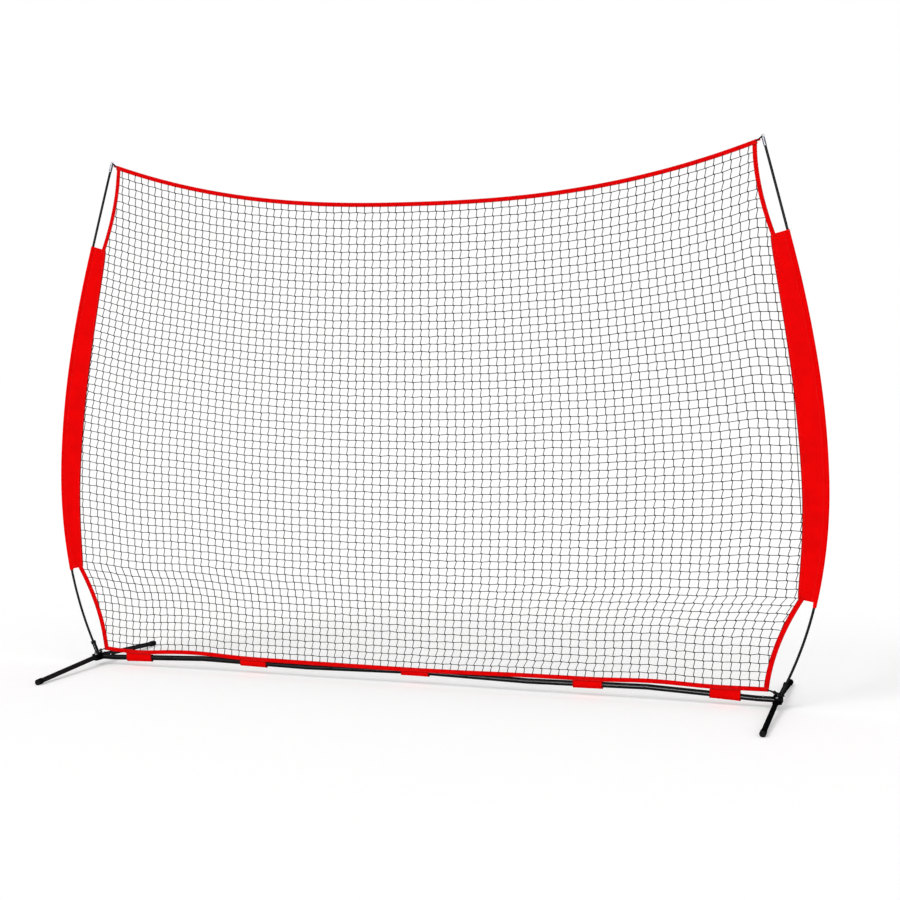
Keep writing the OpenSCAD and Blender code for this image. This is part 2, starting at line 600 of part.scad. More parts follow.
// Loop from a net corner round something at the far end, as points in its own plane:
// X away from the corner, Y across; reach to the far centre and radius of the turn there
function loop_line(reach, turn, root) = concat([[0, root], [reach/2, (root + turn)/2]],
    [for (a = [90 : -22.5 : -90]) [reach + turn*cos(a), turn*sin(a)]],
    [[reach/2, -(root + turn)/2], [0, -root]]);
loop_r = loop_d/2;
// Loops of the top corners, through the eyes of the pole tips
eye_centre = along(pole_end, [[1, 0]], tip_end + eye_r - weld);
top_turn = eye_wire/2 + loop_r + soft_gap;
module corner_loop(from, to, turn, root) {
    d = to - from;
    reach = norm(d);
    pts = [for (q = loop_line(reach, turn, root)) from + q[0]/reach*d + [0, q[1], 0]];
    color("#141414") sweep(pts, [for (q = pts) loop_r], 8);
}
module top_loop() {
    from = [top_x + 1, net_y(top_z), top_z - border_w/3];
    centre = [eye_centre[0], 0, eye_centre[1]];
    to = centre + eye_r*(from - centre)/norm(from - centre);
    corner_loop(from, to, top_turn, loop_r + 0.2);
}
// Loops of the bottom corners, round the pole sockets
bottom_turn = socket_d/2/cos(pole_lean) + loop_r + 2;
module bottom_loop() {
    rise = loop_r + head_h + 2;
    from = [corner_x + 1, net_y(corner_height), corner_height + border_w/3];
    to = [pole_root[0] + rise*tan(pole_lean), 0, hub_top + rise];
    corner_loop(from, to, bottom_turn, loop_r + 0.2);
}

on_side(-1) hub();  // left_hub
hub();  // right_hub
on_side(-1) outer_section();  // left_outer_bar
on_side(-1) section(1);  // left_second_bar
on_side(-1) section(0);  // left_inner_bar
section(0);  // right_inner_bar
section(1);  // right_second_bar
outer_section();  // right_outer_bar
bar_ferrules();
base_cord();
base_cord_plugs();
on_side(-1) bar_button();  // left_bar_button
bar_button();  // right_bar_button
on_side(-1) button_spring();  // left_button_spring
button_spring();  // right_button_spring
leg(-1, true);  // left_front_leg
leg(-1, false);  // left_rear_leg
leg(1, true);  // right_front_leg
leg(1, false);  // right_rear_leg
cap(-1, true);  // left_front_cap
cap(-1, false);  // left_rear_cap
cap(1, true);  // right_front_cap
cap(1, false);  // right_rear_cap
pivot_bolts();
pivot_nuts();
pivot_washers();
both_sides() socket_collar();  // socket_collars
both_sides() pole_foot();  // pole_feet
on_side(-1) pole_rod(1);  // left_pole_rod_1
on_side(-1) pole_rod(2);  // left_pole_rod_2
on_side(-1) pole_rod(3);  // left_pole_rod_3
on_side(-1) pole_rod(4);  // left_pole_rod_4
on_side(-1) pole_rod(5);  // left_pole_rod_5
pole_rod(1);  // right_pole_rod_1
pole_rod(2);  // right_pole_rod_2
pole_rod(3);  // right_pole_rod_3
pole_rod(4);  // right_pole_rod_4
pole_rod(5);  // right_pole_rod_5
on_side(-1) pole_ferrules();  // left_pole_ferrules
pole_ferrules();  // right_pole_ferrules
on_side(-1) pole_cord();  // left_pole_cord
pole_cord();  // right_pole_cord
on_side(-1) pole_tip();  // left_pole_tip
pole_tip();  // right_pole_tip
net_mesh();
top_border();
bottom_border();
on_side(-1) side_border(high_border);  // left_upper_border
on_side(-1) side_border(low_border);  // left_lower_border
side_border(high_border);  // right_upper_border
side_border(low_border);  // right_lower_border
on_side(-1) sleeve();  // left_sleeve
sleeve();  // right_sleeve
base_tabs();
both_sides() top_loop();  // top_loops
both_sides() bottom_loop();  // bottom_loops
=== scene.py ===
"""Looks of a free-standing pitching net: a knotted net with red webbing edges on a bowed-pole frame.

Sizes are in millimetres, as in the part's source, and meshes are made in metres. X runs along the
base bar, Y from front to back, Z up from the floor. The left half mirrors the right, apart from the
net's strands, its bottom edge, the sleeves' tails and the small unevenness of the cloth.
"""

import math

import bpy
import numpy as np
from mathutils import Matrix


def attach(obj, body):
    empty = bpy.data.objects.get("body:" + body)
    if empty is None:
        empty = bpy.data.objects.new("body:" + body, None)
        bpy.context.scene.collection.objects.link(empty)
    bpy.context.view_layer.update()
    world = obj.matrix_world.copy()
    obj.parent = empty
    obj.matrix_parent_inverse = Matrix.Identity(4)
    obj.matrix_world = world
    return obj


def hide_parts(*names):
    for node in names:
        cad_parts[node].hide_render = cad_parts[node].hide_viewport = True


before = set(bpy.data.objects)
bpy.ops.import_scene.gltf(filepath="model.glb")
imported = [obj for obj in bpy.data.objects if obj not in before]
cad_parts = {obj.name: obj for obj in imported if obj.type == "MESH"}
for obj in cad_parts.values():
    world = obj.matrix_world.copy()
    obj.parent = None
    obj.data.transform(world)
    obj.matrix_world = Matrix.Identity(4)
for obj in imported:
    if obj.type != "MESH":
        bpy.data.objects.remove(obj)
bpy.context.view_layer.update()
scene = bpy.context.scene


# ================================================================ camera
def set_camera():
    data = bpy.data.cameras.new("camera")
    data.lens, data.sensor_width, data.clip_end = 63.21, 36, 500
    camera = bpy.data.objects.new("camera", data)
    camera.location = (2.620, -7.618, 1.614)
    camera.rotation_euler = [math.radians(angle) for angle in (87.129, -0.131, 17.740)]
    scene.collection.objects.link(camera)
    scene.camera = camera


set_camera()


# ================================================================ lines of the frame and the net
# These are the solids' own, apart from the bottom edge and the width of the lower side webbing.
HUB_X, HUB_HEIGHT, HUB_TOP = 1834, 45, 60.1
POLE_LEAN, POLE_OFFSET = math.radians(24.3), 10.5
POLE_ROOT = (HUB_X + POLE_OFFSET, HUB_TOP, math.pi / 2 - POLE_LEAN)
FOOT_R, FOOT_FLOOR = 8.45, 3.3
POLE_LIFT = FOOT_R * math.tan(POLE_LEAN) + FOOT_FLOOR
# lengths of the pole and the degrees that each turns by: straight in the socket, then bowed
POLE_STRETCHES = [(70, 0), (473, 14.3), (543, 12.6), (543, 7.2), (543, 5.1), (543, 0.6)]
POLE_LENGTH = sum(length for length, _ in POLE_STRETCHES)
TIP_END, EYE_R, WELD = 4, 7, 0.5
SLEEVE_FROM, SLEEVE_TO = 480, 2265
SLEEVE_END_W, SLEEVE_SWELL = 80, 43
WEBBING_W, LOWER_W, WEBBING_T = 22, 25.5, 2.4
BOTTOM_CORNER_IN, TOP_CORNER_IN, TOP_CORNER_DOWN = 43, 24, 20
CORNER_X, CORNER_Z = HUB_X - BOTTOM_CORNER_IN, 84
NET_FRONT = 18.949
TOP_DIP, TOP_CURVE = 245, 2.4
BOTTOM_DIP, MIDDLE_RISE, OUTER_RISE, RIGHT_RISE, LEFT_DIP = 13, 3.5, 10, 6.5, 8
BAR_R, RECEIVER_REACH, SPIGOT = 14, 98, 66
BAR_END = HUB_X - RECEIVER_REACH
BAR_PITCH = (BAR_END + SPIGOT) / 3
BAR_JOINTS = [(0, 70), (BAR_PITCH, 58), (2 * BAR_PITCH, 67), (BAR_END, HUB_HEIGHT)]
TAB_PITCH, OUTER_TAB = 906, HUB_X - 250
TABS = [(-OUTER_TAB, 0), (-TAB_PITCH, 0), (0, 0.749), (TAB_PITCH, 0), (OUTER_TAB, 0)]


def step(place, length, turn):
    """Place [x, z, heading] after a stretch of that length that turns by so many degrees."""
    x, z, heading = place
    turn = math.radians(turn)
    if abs(turn) < 1e-9:
        return (x + length * math.cos(heading), z + length * math.sin(heading), heading)
    r = length / turn
    return (x + r * (math.sin(heading + turn) - math.sin(heading)),
            z - r * (math.cos(heading + turn) - math.cos(heading)), heading + turn)


def pole_place(s):
    place = step(POLE_ROOT, POLE_LIFT, 0)
    for length, turn in POLE_STRETCHES:
        if s <= length:
            return step(place, s, turn * s / length)
        place, s = step(place, length, turn), s - length
    return step(place, s, 0)


def inward(place, w):
    return np.array([place[0] - w * math.sin(place[2]), place[1] + w * math.cos(place[2])])


TIP_EYE = pole_place(POLE_LENGTH + TIP_END + 2 * EYE_R)
EYE_CENTRE = pole_place(POLE_LENGTH + TIP_END + EYE_R - WELD)
TOP_X, TOP_Z = TIP_EYE[0] - TOP_CORNER_IN, TIP_EYE[1] - TOP_CORNER_DOWN


def net_y(z):
    return -NET_FRONT * (TIP_EYE[1] - z) / (TIP_EYE[1] - CORNER_Z)


def top_edge(x, limit=1.0):
    return TOP_Z - TOP_DIP * (1 - np.minimum(np.abs(x) / TOP_X, limit) ** TOP_CURVE)


def bottom_edge(x):
    """The bottom edge dips from its corners, deepest beside the left one, and rises a little between the
    tabs that hold it down, more so to the right."""
    reach = np.abs(x)
    dip = BOTTOM_DIP * (1 - np.minimum(reach / CORNER_X, 1) ** 2)
    inner = np.where(x > 0, MIDDLE_RISE, 0) * np.sin(np.pi * reach / TAB_PITCH) ** 2
    outer = OUTER_RISE * np.sin(np.pi * (reach - TAB_PITCH) / (OUTER_TAB - TAB_PITCH)) ** 2
    right = RIGHT_RISE * np.sin(np.pi * np.clip((x - 250) / 1250, 0, 1)) ** 2
    left = LEFT_DIP * np.exp(-((x + 1600) / 150) ** 2) * np.clip((x + CORNER_X) / 60, 0, 1)
    rise = np.where(reach < TAB_PITCH, inner, np.where(reach < OUTER_TAB, outer, 0))
    return CORNER_Z - dip + right - left + rise


def sleeve_width(t):
    return SLEEVE_END_W + SLEEVE_SWELL * math.sin(math.pi * min(max(t, 0), 1)) ** 0.6


def sleeve_place(t):
    return pole_place(SLEEVE_FROM + t * (SLEEVE_TO - SLEEVE_FROM))


def bezier(a, b, c, steps=24):
    return [(1 - t) ** 2 * a + 2 * t * (1 - t) * b + t * t * c for t in np.linspace(0, 1, steps + 1)]


SLEEVE_BOTTOM = inward(sleeve_place(0), sleeve_width(0))
SLEEVE_TOP = inward(sleeve_place(1), sleeve_width(1))
LOW_CORNER = np.array([CORNER_X - WEBBING_W, bottom_edge(CORNER_X - WEBBING_W) + WEBBING_W])
HIGH_CORNER = np.array([TOP_X - WEBBING_W, top_edge(TOP_X - WEBBING_W) - WEBBING_W])
LOW_SIDE = bezier(LOW_CORNER, np.array([CORNER_X + 2, SLEEVE_BOTTOM[1] - 220]), SLEEVE_BOTTOM)
HIGH_SIDE = bezier(SLEEVE_TOP, np.array([TOP_X - 18, HIGH_CORNER[1] - 190]), HIGH_CORNER)
MID_SIDE = [inward(sleeve_place(i / 40), sleeve_width(i / 40)) for i in range(1, 40)]
SIDE = np.array(LOW_SIDE + MID_SIDE + HIGH_SIDE)


def side_x(z):
    """Half width of the net at height z, at the inner edge of its webbing and sleeves."""
    return np.interp(z, SIDE[:, 1], SIDE[:, 0])


# ================================================================ making nodes, meshes and pieces
def linear(colour):
    """An sRGB hex colour as the linear colour that a node takes."""
    parts = [int(colour[i:i + 2], 16) / 255 for i in (1, 3, 5)]
    return [v / 12.92 if v <= 0.04045 else ((v + 0.055) / 1.055) ** 2.4 for v in parts] + [1.0]


def add(tree, kind, inputs=(), **settings):
    """Adds a node. inputs gives sockets by name or number, each a value, a node or an output;
    stops gives a ramp's places and colours."""
    node = tree.nodes.new(kind)
    for name, value in settings.items():
        if name == "stops":
            ramp = node.color_ramp.elements
            while len(ramp) < len(value):
                ramp.new(1)
            for stop, (place, colour) in zip(ramp, value):
                stop.position, stop.color = place, colour
        else:
            setattr(node, name, value)
    for key, value in dict(inputs).items():
        if isinstance(value, bpy.types.Node):
            value = value.outputs[0]
        if isinstance(value, bpy.types.NodeSocket):
            tree.links.new(value, node.inputs[key])
        else:
            node.inputs[key].default_value = value
    return node


def place_mesh(name, mesh):
    made = bpy.data.objects.new(name, mesh)
    scene.collection.objects.link(made)
    return made


def lines(name, runs, thin_ends=1.0):
    """A mesh of open lines through points in millimetres. The cords grown on them narrow at both ends
    to thin_ends of their thickness."""
    points, edges, sizes = [], [], []
    for run in runs:
        edges.extend((len(points) + i, len(points) + i + 1) for i in range(len(run) - 1))
        points.extend(run)
        sizes += [thin_ends] + [1.0] * (len(run) - 2) + [thin_ends] * (len(run) > 1)
    mesh = bpy.data.meshes.new(name)
    mesh.from_pydata((np.array(points, float) * 0.001).tolist(), edges, [])
    mesh.attributes.new("cord_size", "FLOAT", "POINT").data.foreach_set("value", sizes)
    return mesh


def loft(name, rings, along, across, material, sharp=35):
    """A closed skin through rings of points in millimetres, with its UV map in metres: along[k] is
    ring k's distance, and across[k] the distances round it, one more than it has points."""
    rings = np.array(rings, float)
    count, n = rings.shape[:2]
    faces, uvs = [], []
    for k in range(count - 1):
        for j in range(n):
            a, b = k * n + j, k * n + (j + 1) % n
            faces.append((a, b, b + n, a + n))
            uvs += [(along[k], across[k][j]), (along[k], across[k][j + 1]),
                    (along[k + 1], across[k + 1][j + 1]), (along[k + 1], across[k + 1][j])]
    for first, k in ((0, 0), ((count - 1) * n, count - 1)):
        for j in range(n // 2 - 1):
            quad = (first + j, first + n - 1 - j, first + n - 2 - j, first + j + 1)
            faces.append(quad if k == 0 else quad[::-1])
            uvs += [(along[k], across[k][i % n]) for i in faces[-1]]
    corners = rings.reshape(-1, 3) * 0.001
    box = corners[np.array(faces)]
    volume = sum((box[:, 0] * np.cross(box[:, i], box[:, i + 1])).sum() for i in (1, 2))
    if volume < 0:
        faces = [f[::-1] for f in faces]
        uvs = [uvs[i + 3 - k] for i in range(0, len(uvs), 4) for k in range(4)]
    mesh = bpy.data.meshes.new(name)
    mesh.from_pydata(corners.tolist(), [], faces)
    layer = mesh.uv_layers.new(name="cloth_run")
    layer.data.foreach_set("uv", (np.array(uvs) * 0.001).astype(np.float32).ravel())
    mesh.materials.append(material)
    mesh.shade_smooth()
    mesh.set_sharp_from_angle(angle=math.radians(sharp))
    return place_mesh(name, mesh)


def distances(points):
    """Running distance along a line of points."""
    steps = np.diff(np.array(points, float), axis=0)
    return np.concatenate([[0], np.cumsum(np.linalg.norm(steps, axis=1))])


def mark_edges(piece, distance):
    """Stores how far each point lies from the cloth's turned edge, in millimetres."""
    values = (np.concatenate(distance) * 0.001).astype(np.float32)
    piece.data.attributes.new("from_edge", "FLOAT", "POINT").data.foreach_set("value", values)


def keep(piece, slot, *nodes):
    """Hands a finished piece over: it rides on the frame and stands for those solids; slot is not used."""
    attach(piece, "frame")
    if nodes:
        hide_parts(*nodes)
    return piece


# ================================================================ materials
def empty_tree(owner):
    owner.use_nodes = True
    owner.node_tree.nodes.clear()
    return owner.node_tree


def surface(name, inputs):
    """A material with one Principled shader. Returns the material, its tree and the shader."""
    material = bpy.data.materials.new(name)
    tree = empty_tree(material)
    shader = add(tree, "ShaderNodeBsdfPrincipled", inputs)
    add(tree, "ShaderNodeOutputMaterial", {"Surface": shader})
    return material, tree, shader


def finish_surface(tree, shader, colour, roughness, height, depth, strength):
    """Links a colour, a bump of so many metres and, unless it is None, a roughness to the shader."""
    tree.links.new(colour, shader.inputs["Base Color"])
    if roughness is not None:
        tree.links.new(roughness, shader.inputs["Roughness"])
    bump = add(tree, "ShaderNodeBump", {"Height": height, "Distance": depth, "Strength": strength})
    tree.links.new(bump.outputs[0], shader.inputs["Normal"])


def object_place(tree):
    return add(tree, "ShaderNodeTexCoord").outputs["Object"]


def attribute(tree, name):
    return add(tree, "ShaderNodeAttribute", attribute_name=name).outputs["Fac"]


def cloth_places(tree):
    """The distances along and across a cloth, in metres."""
    run = add(tree, "ShaderNodeUVMap", uv_map="cloth_run")
    place = add(tree, "ShaderNodeSeparateXYZ", {"Vector": run})
    return place.outputs["X"], place.outputs["Y"]


def maths(tree, operation, *values):
    return add(tree, "ShaderNodeMath", dict(enumerate(values)), operation=operation)


def wave(tree, value, length):
    return maths(tree, "SINE", maths(tree, "MULTIPLY", value, 2 * math.pi / length))


def mottle(tree, where, scale, detail, roughness=0.5):
    inputs = {"Vector": where, "Scale": scale, "Detail": detail, "Roughness": roughness}
    return add(tree, "ShaderNodeTexNoise", inputs).outputs["Fac"]


def mapped(tree, value, ends, start=(0.0, 1.0)):
    """A value moved from the range start to the range ends."""
    return add(tree, "ShaderNodeMapRange", {"Value": value, "From Min": start[0], "From Max": start[1],
                                            "To Min": ends[0], "To Max": ends[1]}).outputs[0]


def tinted(tree, value, *stops):
    """Colours by a value. Each stop is a place and an sRGB hex colour."""
    stops = [(place, linear(colour)) for place, colour in stops]
    return add(tree, "ShaderNodeValToRGB", {"Fac": value}, stops=stops).outputs["Color"]


def blended(tree, share, colour, other):
    """A colour with a share of another, an sRGB hex one, over it."""
    return add(tree, "ShaderNodeMix", {0: share, 6: colour, 7: linear(other)}, data_type="RGBA").outputs[2]


def dark_aslant(tree, shader, gloss):
    """Gloss that is full on a face turned to the eye and gone on one seen from the side."""
    aslant = add(tree, "ShaderNodeLayerWeight", {"Blend": 0.5}).outputs["Facing"]
    level = mapped(tree, aslant, (gloss, 0.0), (0.25, 0.65))
    tree.links.new(level, shader.inputs["Specular IOR Level"])


def powder_coated_steel():
    # Polyester powder baked on drawn tube: deep black and satin, with a soft orange peel that keeps it
    # dark at a glancing angle. Real peel is 1 to 2 mm across; it is drawn at 5 mm, because finer would
    # not show. Handled places are duller.
    material, tree, shader = surface("powder_coated_steel", {})
    dark_aslant(tree, shader, 0.07)
    where = object_place(tree)
    peel = mottle(tree, where, 200, 2)
    rubbed = mottle(tree, where, 14, 5, 0.6)
    colour = tinted(tree, rubbed, (0.35, "#060607"), (0.75, "#101113"))
    dull = mapped(tree, rubbed, (0.18, 0.3), (0.3, 0.75))
    finish_surface(tree, shader, colour, dull, peel, 0.0003, 0.25)
    return material


def pultruded_fibreglass():
    # Black resin with glass fibres that run the length of the rod: semi-gloss, with faint long streaks,
    # 1.5 mm apart round the rod and drawn out thirty times along it.
    material, tree, shader = surface("pultruded_fibreglass", {})
    dark_aslant(tree, shader, 0.05)
    drawn = add(tree, "ShaderNodeMapping", {"Vector": object_place(tree), "Scale": (650, 650, 22)})
    fibre = mottle(tree, drawn, 1, 3)
    colour = tinted(tree, fibre, (0.3, "#040405"), (0.8, "#111214"))
    finish_surface(tree, shader, colour, mapped(tree, fibre, (0.3, 0.5)), fibre, 0.0002, 0.2)
    return material


def moulded_rubber():
    # Moulded rubber: matt black with a spark-eroded grain of about 1 mm, drawn at 3 mm, and grey scuffs
    # low down where it meets the ground.
    material, tree, shader = surface("moulded_rubber", {})
    dark_aslant(tree, shader, 0.06)
    where = object_place(tree)
    grain = mottle(tree, where, 330, 3)
    height = add(tree, "ShaderNodeSeparateXYZ", {"Vector": where}).outputs["Z"]
    low = mapped(tree, height, (0.85, 0.0), (0.0, 0.008))
    worn = maths(tree, "MULTIPLY", low, mottle(tree, where, 60, 6, 0.7))
    colour = blended(tree, worn, linear("#070708"), "#32312f")
    finish_surface(tree, shader, colour, mapped(tree, grain, (0.6, 0.85)), grain, 0.0003, 0.4)
    return material


def plain_metal(name, dark, light, low, high, scale):
    """A bare or plated metal whose colour and gloss vary in streaks of the given scale."""
    material, tree, shader = surface(name, {"Metallic": 1.0})
    streaks = add(tree, "ShaderNodeMapping", {"Vector": object_place(tree), "Scale": scale})
    marks = mottle(tree, streaks, 1, 4, 0.6)
    colour = tinted(tree, marks, (0.3, dark), (0.75, light))
    finish_surface(tree, shader, colour, mapped(tree, marks, (low, high)), marks, 0.0001, 0.3)
    return material


def moulded_nylon():
    # White nylon washers: waxy and slightly uneven in tone where the pivots rub them.
    material, tree, shader = surface("moulded_nylon", {"Specular IOR Level": 0.4, "Roughness": 0.42})
    tone = mottle(tree, object_place(tree), 260, 3)
    colour = tinted(tree, tone, (0.35, "#cfccc3"), (0.7, "#e6e3dc"))
    finish_surface(tree, shader, colour, None, tone, 0.0001, 0.3)
    return material


def lay_of_yarn(tree, pitch, turns):
    """Yarns wound round a cord: a wave of that pitch along it and so many turns round it."""
    length = maths(tree, "MULTIPLY", attribute(tree, "cord_run"), 2 * math.pi / pitch)
    angle = maths(tree, "MULTIPLY_ADD", attribute(tree, "cord_turn"), turns * 2 * math.pi, length)
    return maths(tree, "SINE", angle)


def braided_elastic():
    # Elastic cord in a braided cover: matt black, with the two sets of yarns crossing every 3 mm.
    material, tree, shader = surface("braided_elastic", {"Specular IOR Level": 0.05, "Sheen Weight": 0.02,
                                                         "Roughness": 0.75})
    braid = maths(tree, "MAXIMUM", lay_of_yarn(tree, 0.006, 3), lay_of_yarn(tree, 0.006, -3))
    colour = tinted(tree, braid, (0.0, "#060606"), (1.0, "#1b1b1c"))
    finish_surface(tree, shader, colour, None, braid, 0.0004, 0.6)
    return material


def twisted_twine():
    # Black polyethylene twine for sports nets: three strands laid up with a turn every 8 mm, and a
    # slight waxy gloss.
    material, tree, shader = surface("twisted_twine", {"Specular IOR Level": 0.03, "Roughness": 0.6})
    lay = lay_of_yarn(tree, 0.008 / 3, 3)
    colour = tinted(tree, lay, (0.0, "#040404"), (1.0, "#0e0e0f"))
    finish_surface(tree, shader, colour, None, lay, 0.0003, 0.5)
    return material


def woven_webbing():
    # Polypropylene webbing: ribs across the strap, 1.5 mm apart in the real one and drawn at 3 mm, with
    # yarns that cross them in a chevron, and a darker red painted along both long edges as shade.
    material, tree, shader = surface("woven_webbing", {"Specular IOR Level": 0.01, "Roughness": 0.7})
    run, across = cloth_places(tree)
    slant = maths(tree, "ADD", run, maths(tree, "PINGPONG", across, 0.0055))
    weave = maths(tree, "MULTIPLY_ADD", wave(tree, slant, 0.003), 0.3, wave(tree, across, 0.0022))
    dye = mottle(tree, object_place(tree), 40, 4)
    mixed = maths(tree, "MULTIPLY_ADD", weave, 0.18, dye)
    colour = tinted(tree, mixed, (0.2, "#d60002"), (0.5, "#ec0002"), (0.8, "#f60203"))
    # the UV map runs once round the strap, so it is folded at half of that to measure from the middle
    round_half = 0.0243
    folded = maths(tree, "PINGPONG", across, round_half)
    outward = maths(tree, "ABSOLUTE", maths(tree, "SUBTRACT", folded, round_half / 2))
    # painted shade: a darker red along both long edges of the strap
    selvedge_shade = mapped(tree, outward, (0.0, 0.6), (0.0085, 0.0115))
    finish_surface(tree, shader, blended(tree, selvedge_shade, colour, "#8c0002"), None, weave, 0.0005, 0.5)
    return material


def coated_oxford():
    # Polyester oxford with a thin coating on its back: plain weave in pairs of yarns, 0.6 mm apart in the
    # real cloth and drawn at 1.6 mm, very even and saturated, with hardly any gloss. A darker red is
    # painted along the turned edges as the shade of the doubled, creased cloth.
    material, tree, shader = surface("coated_oxford", {"Specular IOR Level": 0.01})
    run, across = cloth_places(tree)
    weave = maths(tree, "MULTIPLY", wave(tree, run, 0.0032), wave(tree, across, 0.0032))
    dye = mottle(tree, object_place(tree), 9, 5, 0.55)
    mixed = maths(tree, "MULTIPLY_ADD", weave, 0.07, dye)
    colour = tinted(tree, mixed, (0.25, "#e20001"), (0.5, "#ee0001"), (0.75, "#f60203"))
    # painted shade: a darker red within a few millimetres of the turned edges
    turned = mapped(tree, attribute(tree, "from_edge"), (0.85, 0.0), (0.003, 0.0055))
    edge_shaded = blended(tree, turned, colour, "#960002")
    finish_surface(tree, shader, edge_shaded, mapped(tree, dye, (0.6, 0.8)), weave, 0.0003, 0.35)
    return material


def sewing_thread():
    # Bonded polyester thread, a shade darker than the cloth, so that the seams can be read.
    material, tree, shader = surface("sewing_thread", {"Specular IOR Level": 0.3, "Roughness": 0.5})
    tone = mottle(tree, object_place(tree), 500, 2)
    colour = tinted(tree, tone, (0.3, "#a30408"), (0.7, "#c4060a"))
    finish_surface(tree, shader, colour, None, tone, 0.0001, 0.4)
    return material


POWDER = powder_coated_steel()
FIBREGLASS = pultruded_fibreglass()
RUBBER = moulded_rubber()
NYLON = moulded_nylon()
ELASTIC = braided_elastic()
TWINE = twisted_twine()
WEBBING = woven_webbing()
OXFORD = coated_oxford()
THREAD = sewing_thread()
# Bright zinc: cool grey with a faint mottle. Couplings: drawn steel with marks along X. Springs:
# tempered strip, polished by rubbing. Tips and rod ferrules: turned aluminium with rings round them.
ZINC = plain_metal("zinc_plated_steel", "#8d9096", "#b4b8bd", 0.25, 0.45, (300, 300, 300))
DRAWN_STEEL = plain_metal("drawn_steel", "#3c3e42", "#5a5d61", 0.3, 0.5, (12, 500, 500))
SPRING = plain_metal("tempered_spring_steel", "#77797d", "#a3a6aa", 0.2, 0.4, (60, 400, 60))
ALUMINIUM = plain_metal("turned_aluminium", "#44464a", "#626468", 0.36, 0.5, (60, 60, 900))

FINISHES = [
    (("_hub", "_bar", "_leg"), POWDER),
    (("bar_ferrules",), DRAWN_STEEL),
    (("_cap", "plugs", "collars", "pole_feet"), RUBBER),
    (("bolts", "nuts", "bar_button"), ZINC),
    (("spring",), SPRING),
    (("washers",), NYLON),
    (("_rod_",), FIBREGLASS),
    (("pole_ferrules", "_tip"), ALUMINIUM),
    (("cord", "loops", "net_mesh"), ELASTIC),
    (("border",), WEBBING),
    (("sleeve", "tabs"), OXFORD),
]
for name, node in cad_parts.items():
    material = None
    for words, finish in FINISHES:
        if any(word in name for word in words):
            material = finish
    node.data.materials.clear()
    node.data.materials.append(material)


# ================================================================ cords, knots and stitches
def new_tree(name, **sizes):
    """A Geometry Nodes tree that takes a geometry, the named sizes and a material. Returns it and
    these inputs."""
    tree = bpy.data.node_groups.new(name, "GeometryNodeTree")
    tree.interface.new_socket("Geometry", in_out="INPUT", socket_type="NodeSocketGeometry")
    for label, value in sizes.items():
        kind = "NodeSocketInt" if isinstance(value, int) else "NodeSocketFloat"
        tree.interface.new_socket(label, in_out="INPUT", socket_type=kind).default_value = value
    tree.interface.new_socket("Material", in_out="INPUT", socket_type="NodeSocketMaterial")
    tree.interface.new_socket("Geometry", in_out="OUTPUT", socket_type="NodeSocketGeometry")
    return tree, add(tree, "NodeGroupInput").outputs


def close_tree(tree, given, shape):
    whole = add(tree, "GeometryNodeRealizeInstances", {"Geometry": shape})
    painted = add(tree, "GeometryNodeSetMaterial", {"Geometry": whole, "Material": given["Material"]})
    add(tree, "NodeGroupOutput", {"Geometry": painted})
    return tree


def stored(tree, geometry, name, value):
    inputs = {"Geometry": geometry, "Name": name, "Value": value}
    return add(tree, "GeometryNodeStoreNamedAttribute", inputs, data_type="FLOAT", domain="POINT")


def cord_tree():
    """A round cord along each line, which keeps its distance along the line and round the cord."""
    tree, given = new_tree("cord_along_line", radius=0.001, sides=6)
    line = add(tree, "GeometryNodeMeshToCurve", {"Mesh": given["Geometry"]})
    run = add(tree, "GeometryNodeSplineParameter").outputs["Length"]
    line = stored(tree, line, "cord_run", run)
    profile = add(tree, "GeometryNodeCurvePrimitiveCircle", {"Resolution": given["sides"],
                                                             "Radius": given["radius"]})
    turn = add(tree, "GeometryNodeSplineParameter").outputs["Factor"]
    profile = stored(tree, profile, "cord_turn", turn)
    size = add(tree, "GeometryNodeInputNamedAttribute", {"Name": "cord_size"}, data_type="FLOAT")
    cord = add(tree, "GeometryNodeCurveToMesh", {"Curve": line, "Profile Curve": profile, "Scale": size,
                                                 "Fill Caps": True})
    return close_tree(tree, given, cord)


def knot_tree():
    """A tight knot on each point, that leans down to the right by a little more or less."""
    tree, given = new_tree("knots_on_points", size=0.0035, seed=11)
    knot = add(tree, "GeometryNodeMeshIcoSphere", {"Radius": given["size"], "Subdivisions": 1})
    knot = add(tree, "GeometryNodeTransform", {"Geometry": knot, "Scale": (2.0, 0.9, 0.95)})
    turned = add(tree, "FunctionNodeRandomValue", {0: (0, 0.5, 0), 1: (0.4, 0.9, 0.2), 8: given["seed"]},
                 data_type="FLOAT_VECTOR")
    spread = add(tree, "GeometryNodeInstanceOnPoints", {"Points": given["Geometry"], "Instance": knot,
                                                        "Rotation": turned.outputs[0]})
    return close_tree(tree, given, spread)


def stitch_tree():
    """Lockstitches along each line: short rounded lengths of thread, a pitch apart."""
    tree, given = new_tree("stitches_along_line", pitch=0.006, length=0.0042, thread=0.0005)
    line = add(tree, "GeometryNodeMeshToCurve", {"Mesh": given["Geometry"]})
    spaced = add(tree, "GeometryNodeResampleCurve", {"Curve": line, "Length": given["pitch"]},
                 mode="LENGTH")
    half = maths(tree, "MULTIPLY", given["length"], 0.5)
    size = add(tree, "ShaderNodeCombineXYZ", {0: half, 1: given["thread"], 2: given["thread"]})
    ball = add(tree, "GeometryNodeMeshIcoSphere", {"Radius": 1.0, "Subdivisions": 1})
    one = add(tree, "GeometryNodeTransform", {"Geometry": ball, "Scale": size})
    tangent = add(tree, "GeometryNodeInputTangent")
    way = add(tree, "FunctionNodeAlignRotationToVector", {"Vector": tangent}, axis="X")
    spread = add(tree, "GeometryNodeInstanceOnPoints", {"Points": spaced, "Instance": one,
                                                        "Rotation": way})
    return close_tree(tree, given, spread)


CORD, KNOTS, STITCHES = cord_tree(), knot_tree(), stitch_tree()


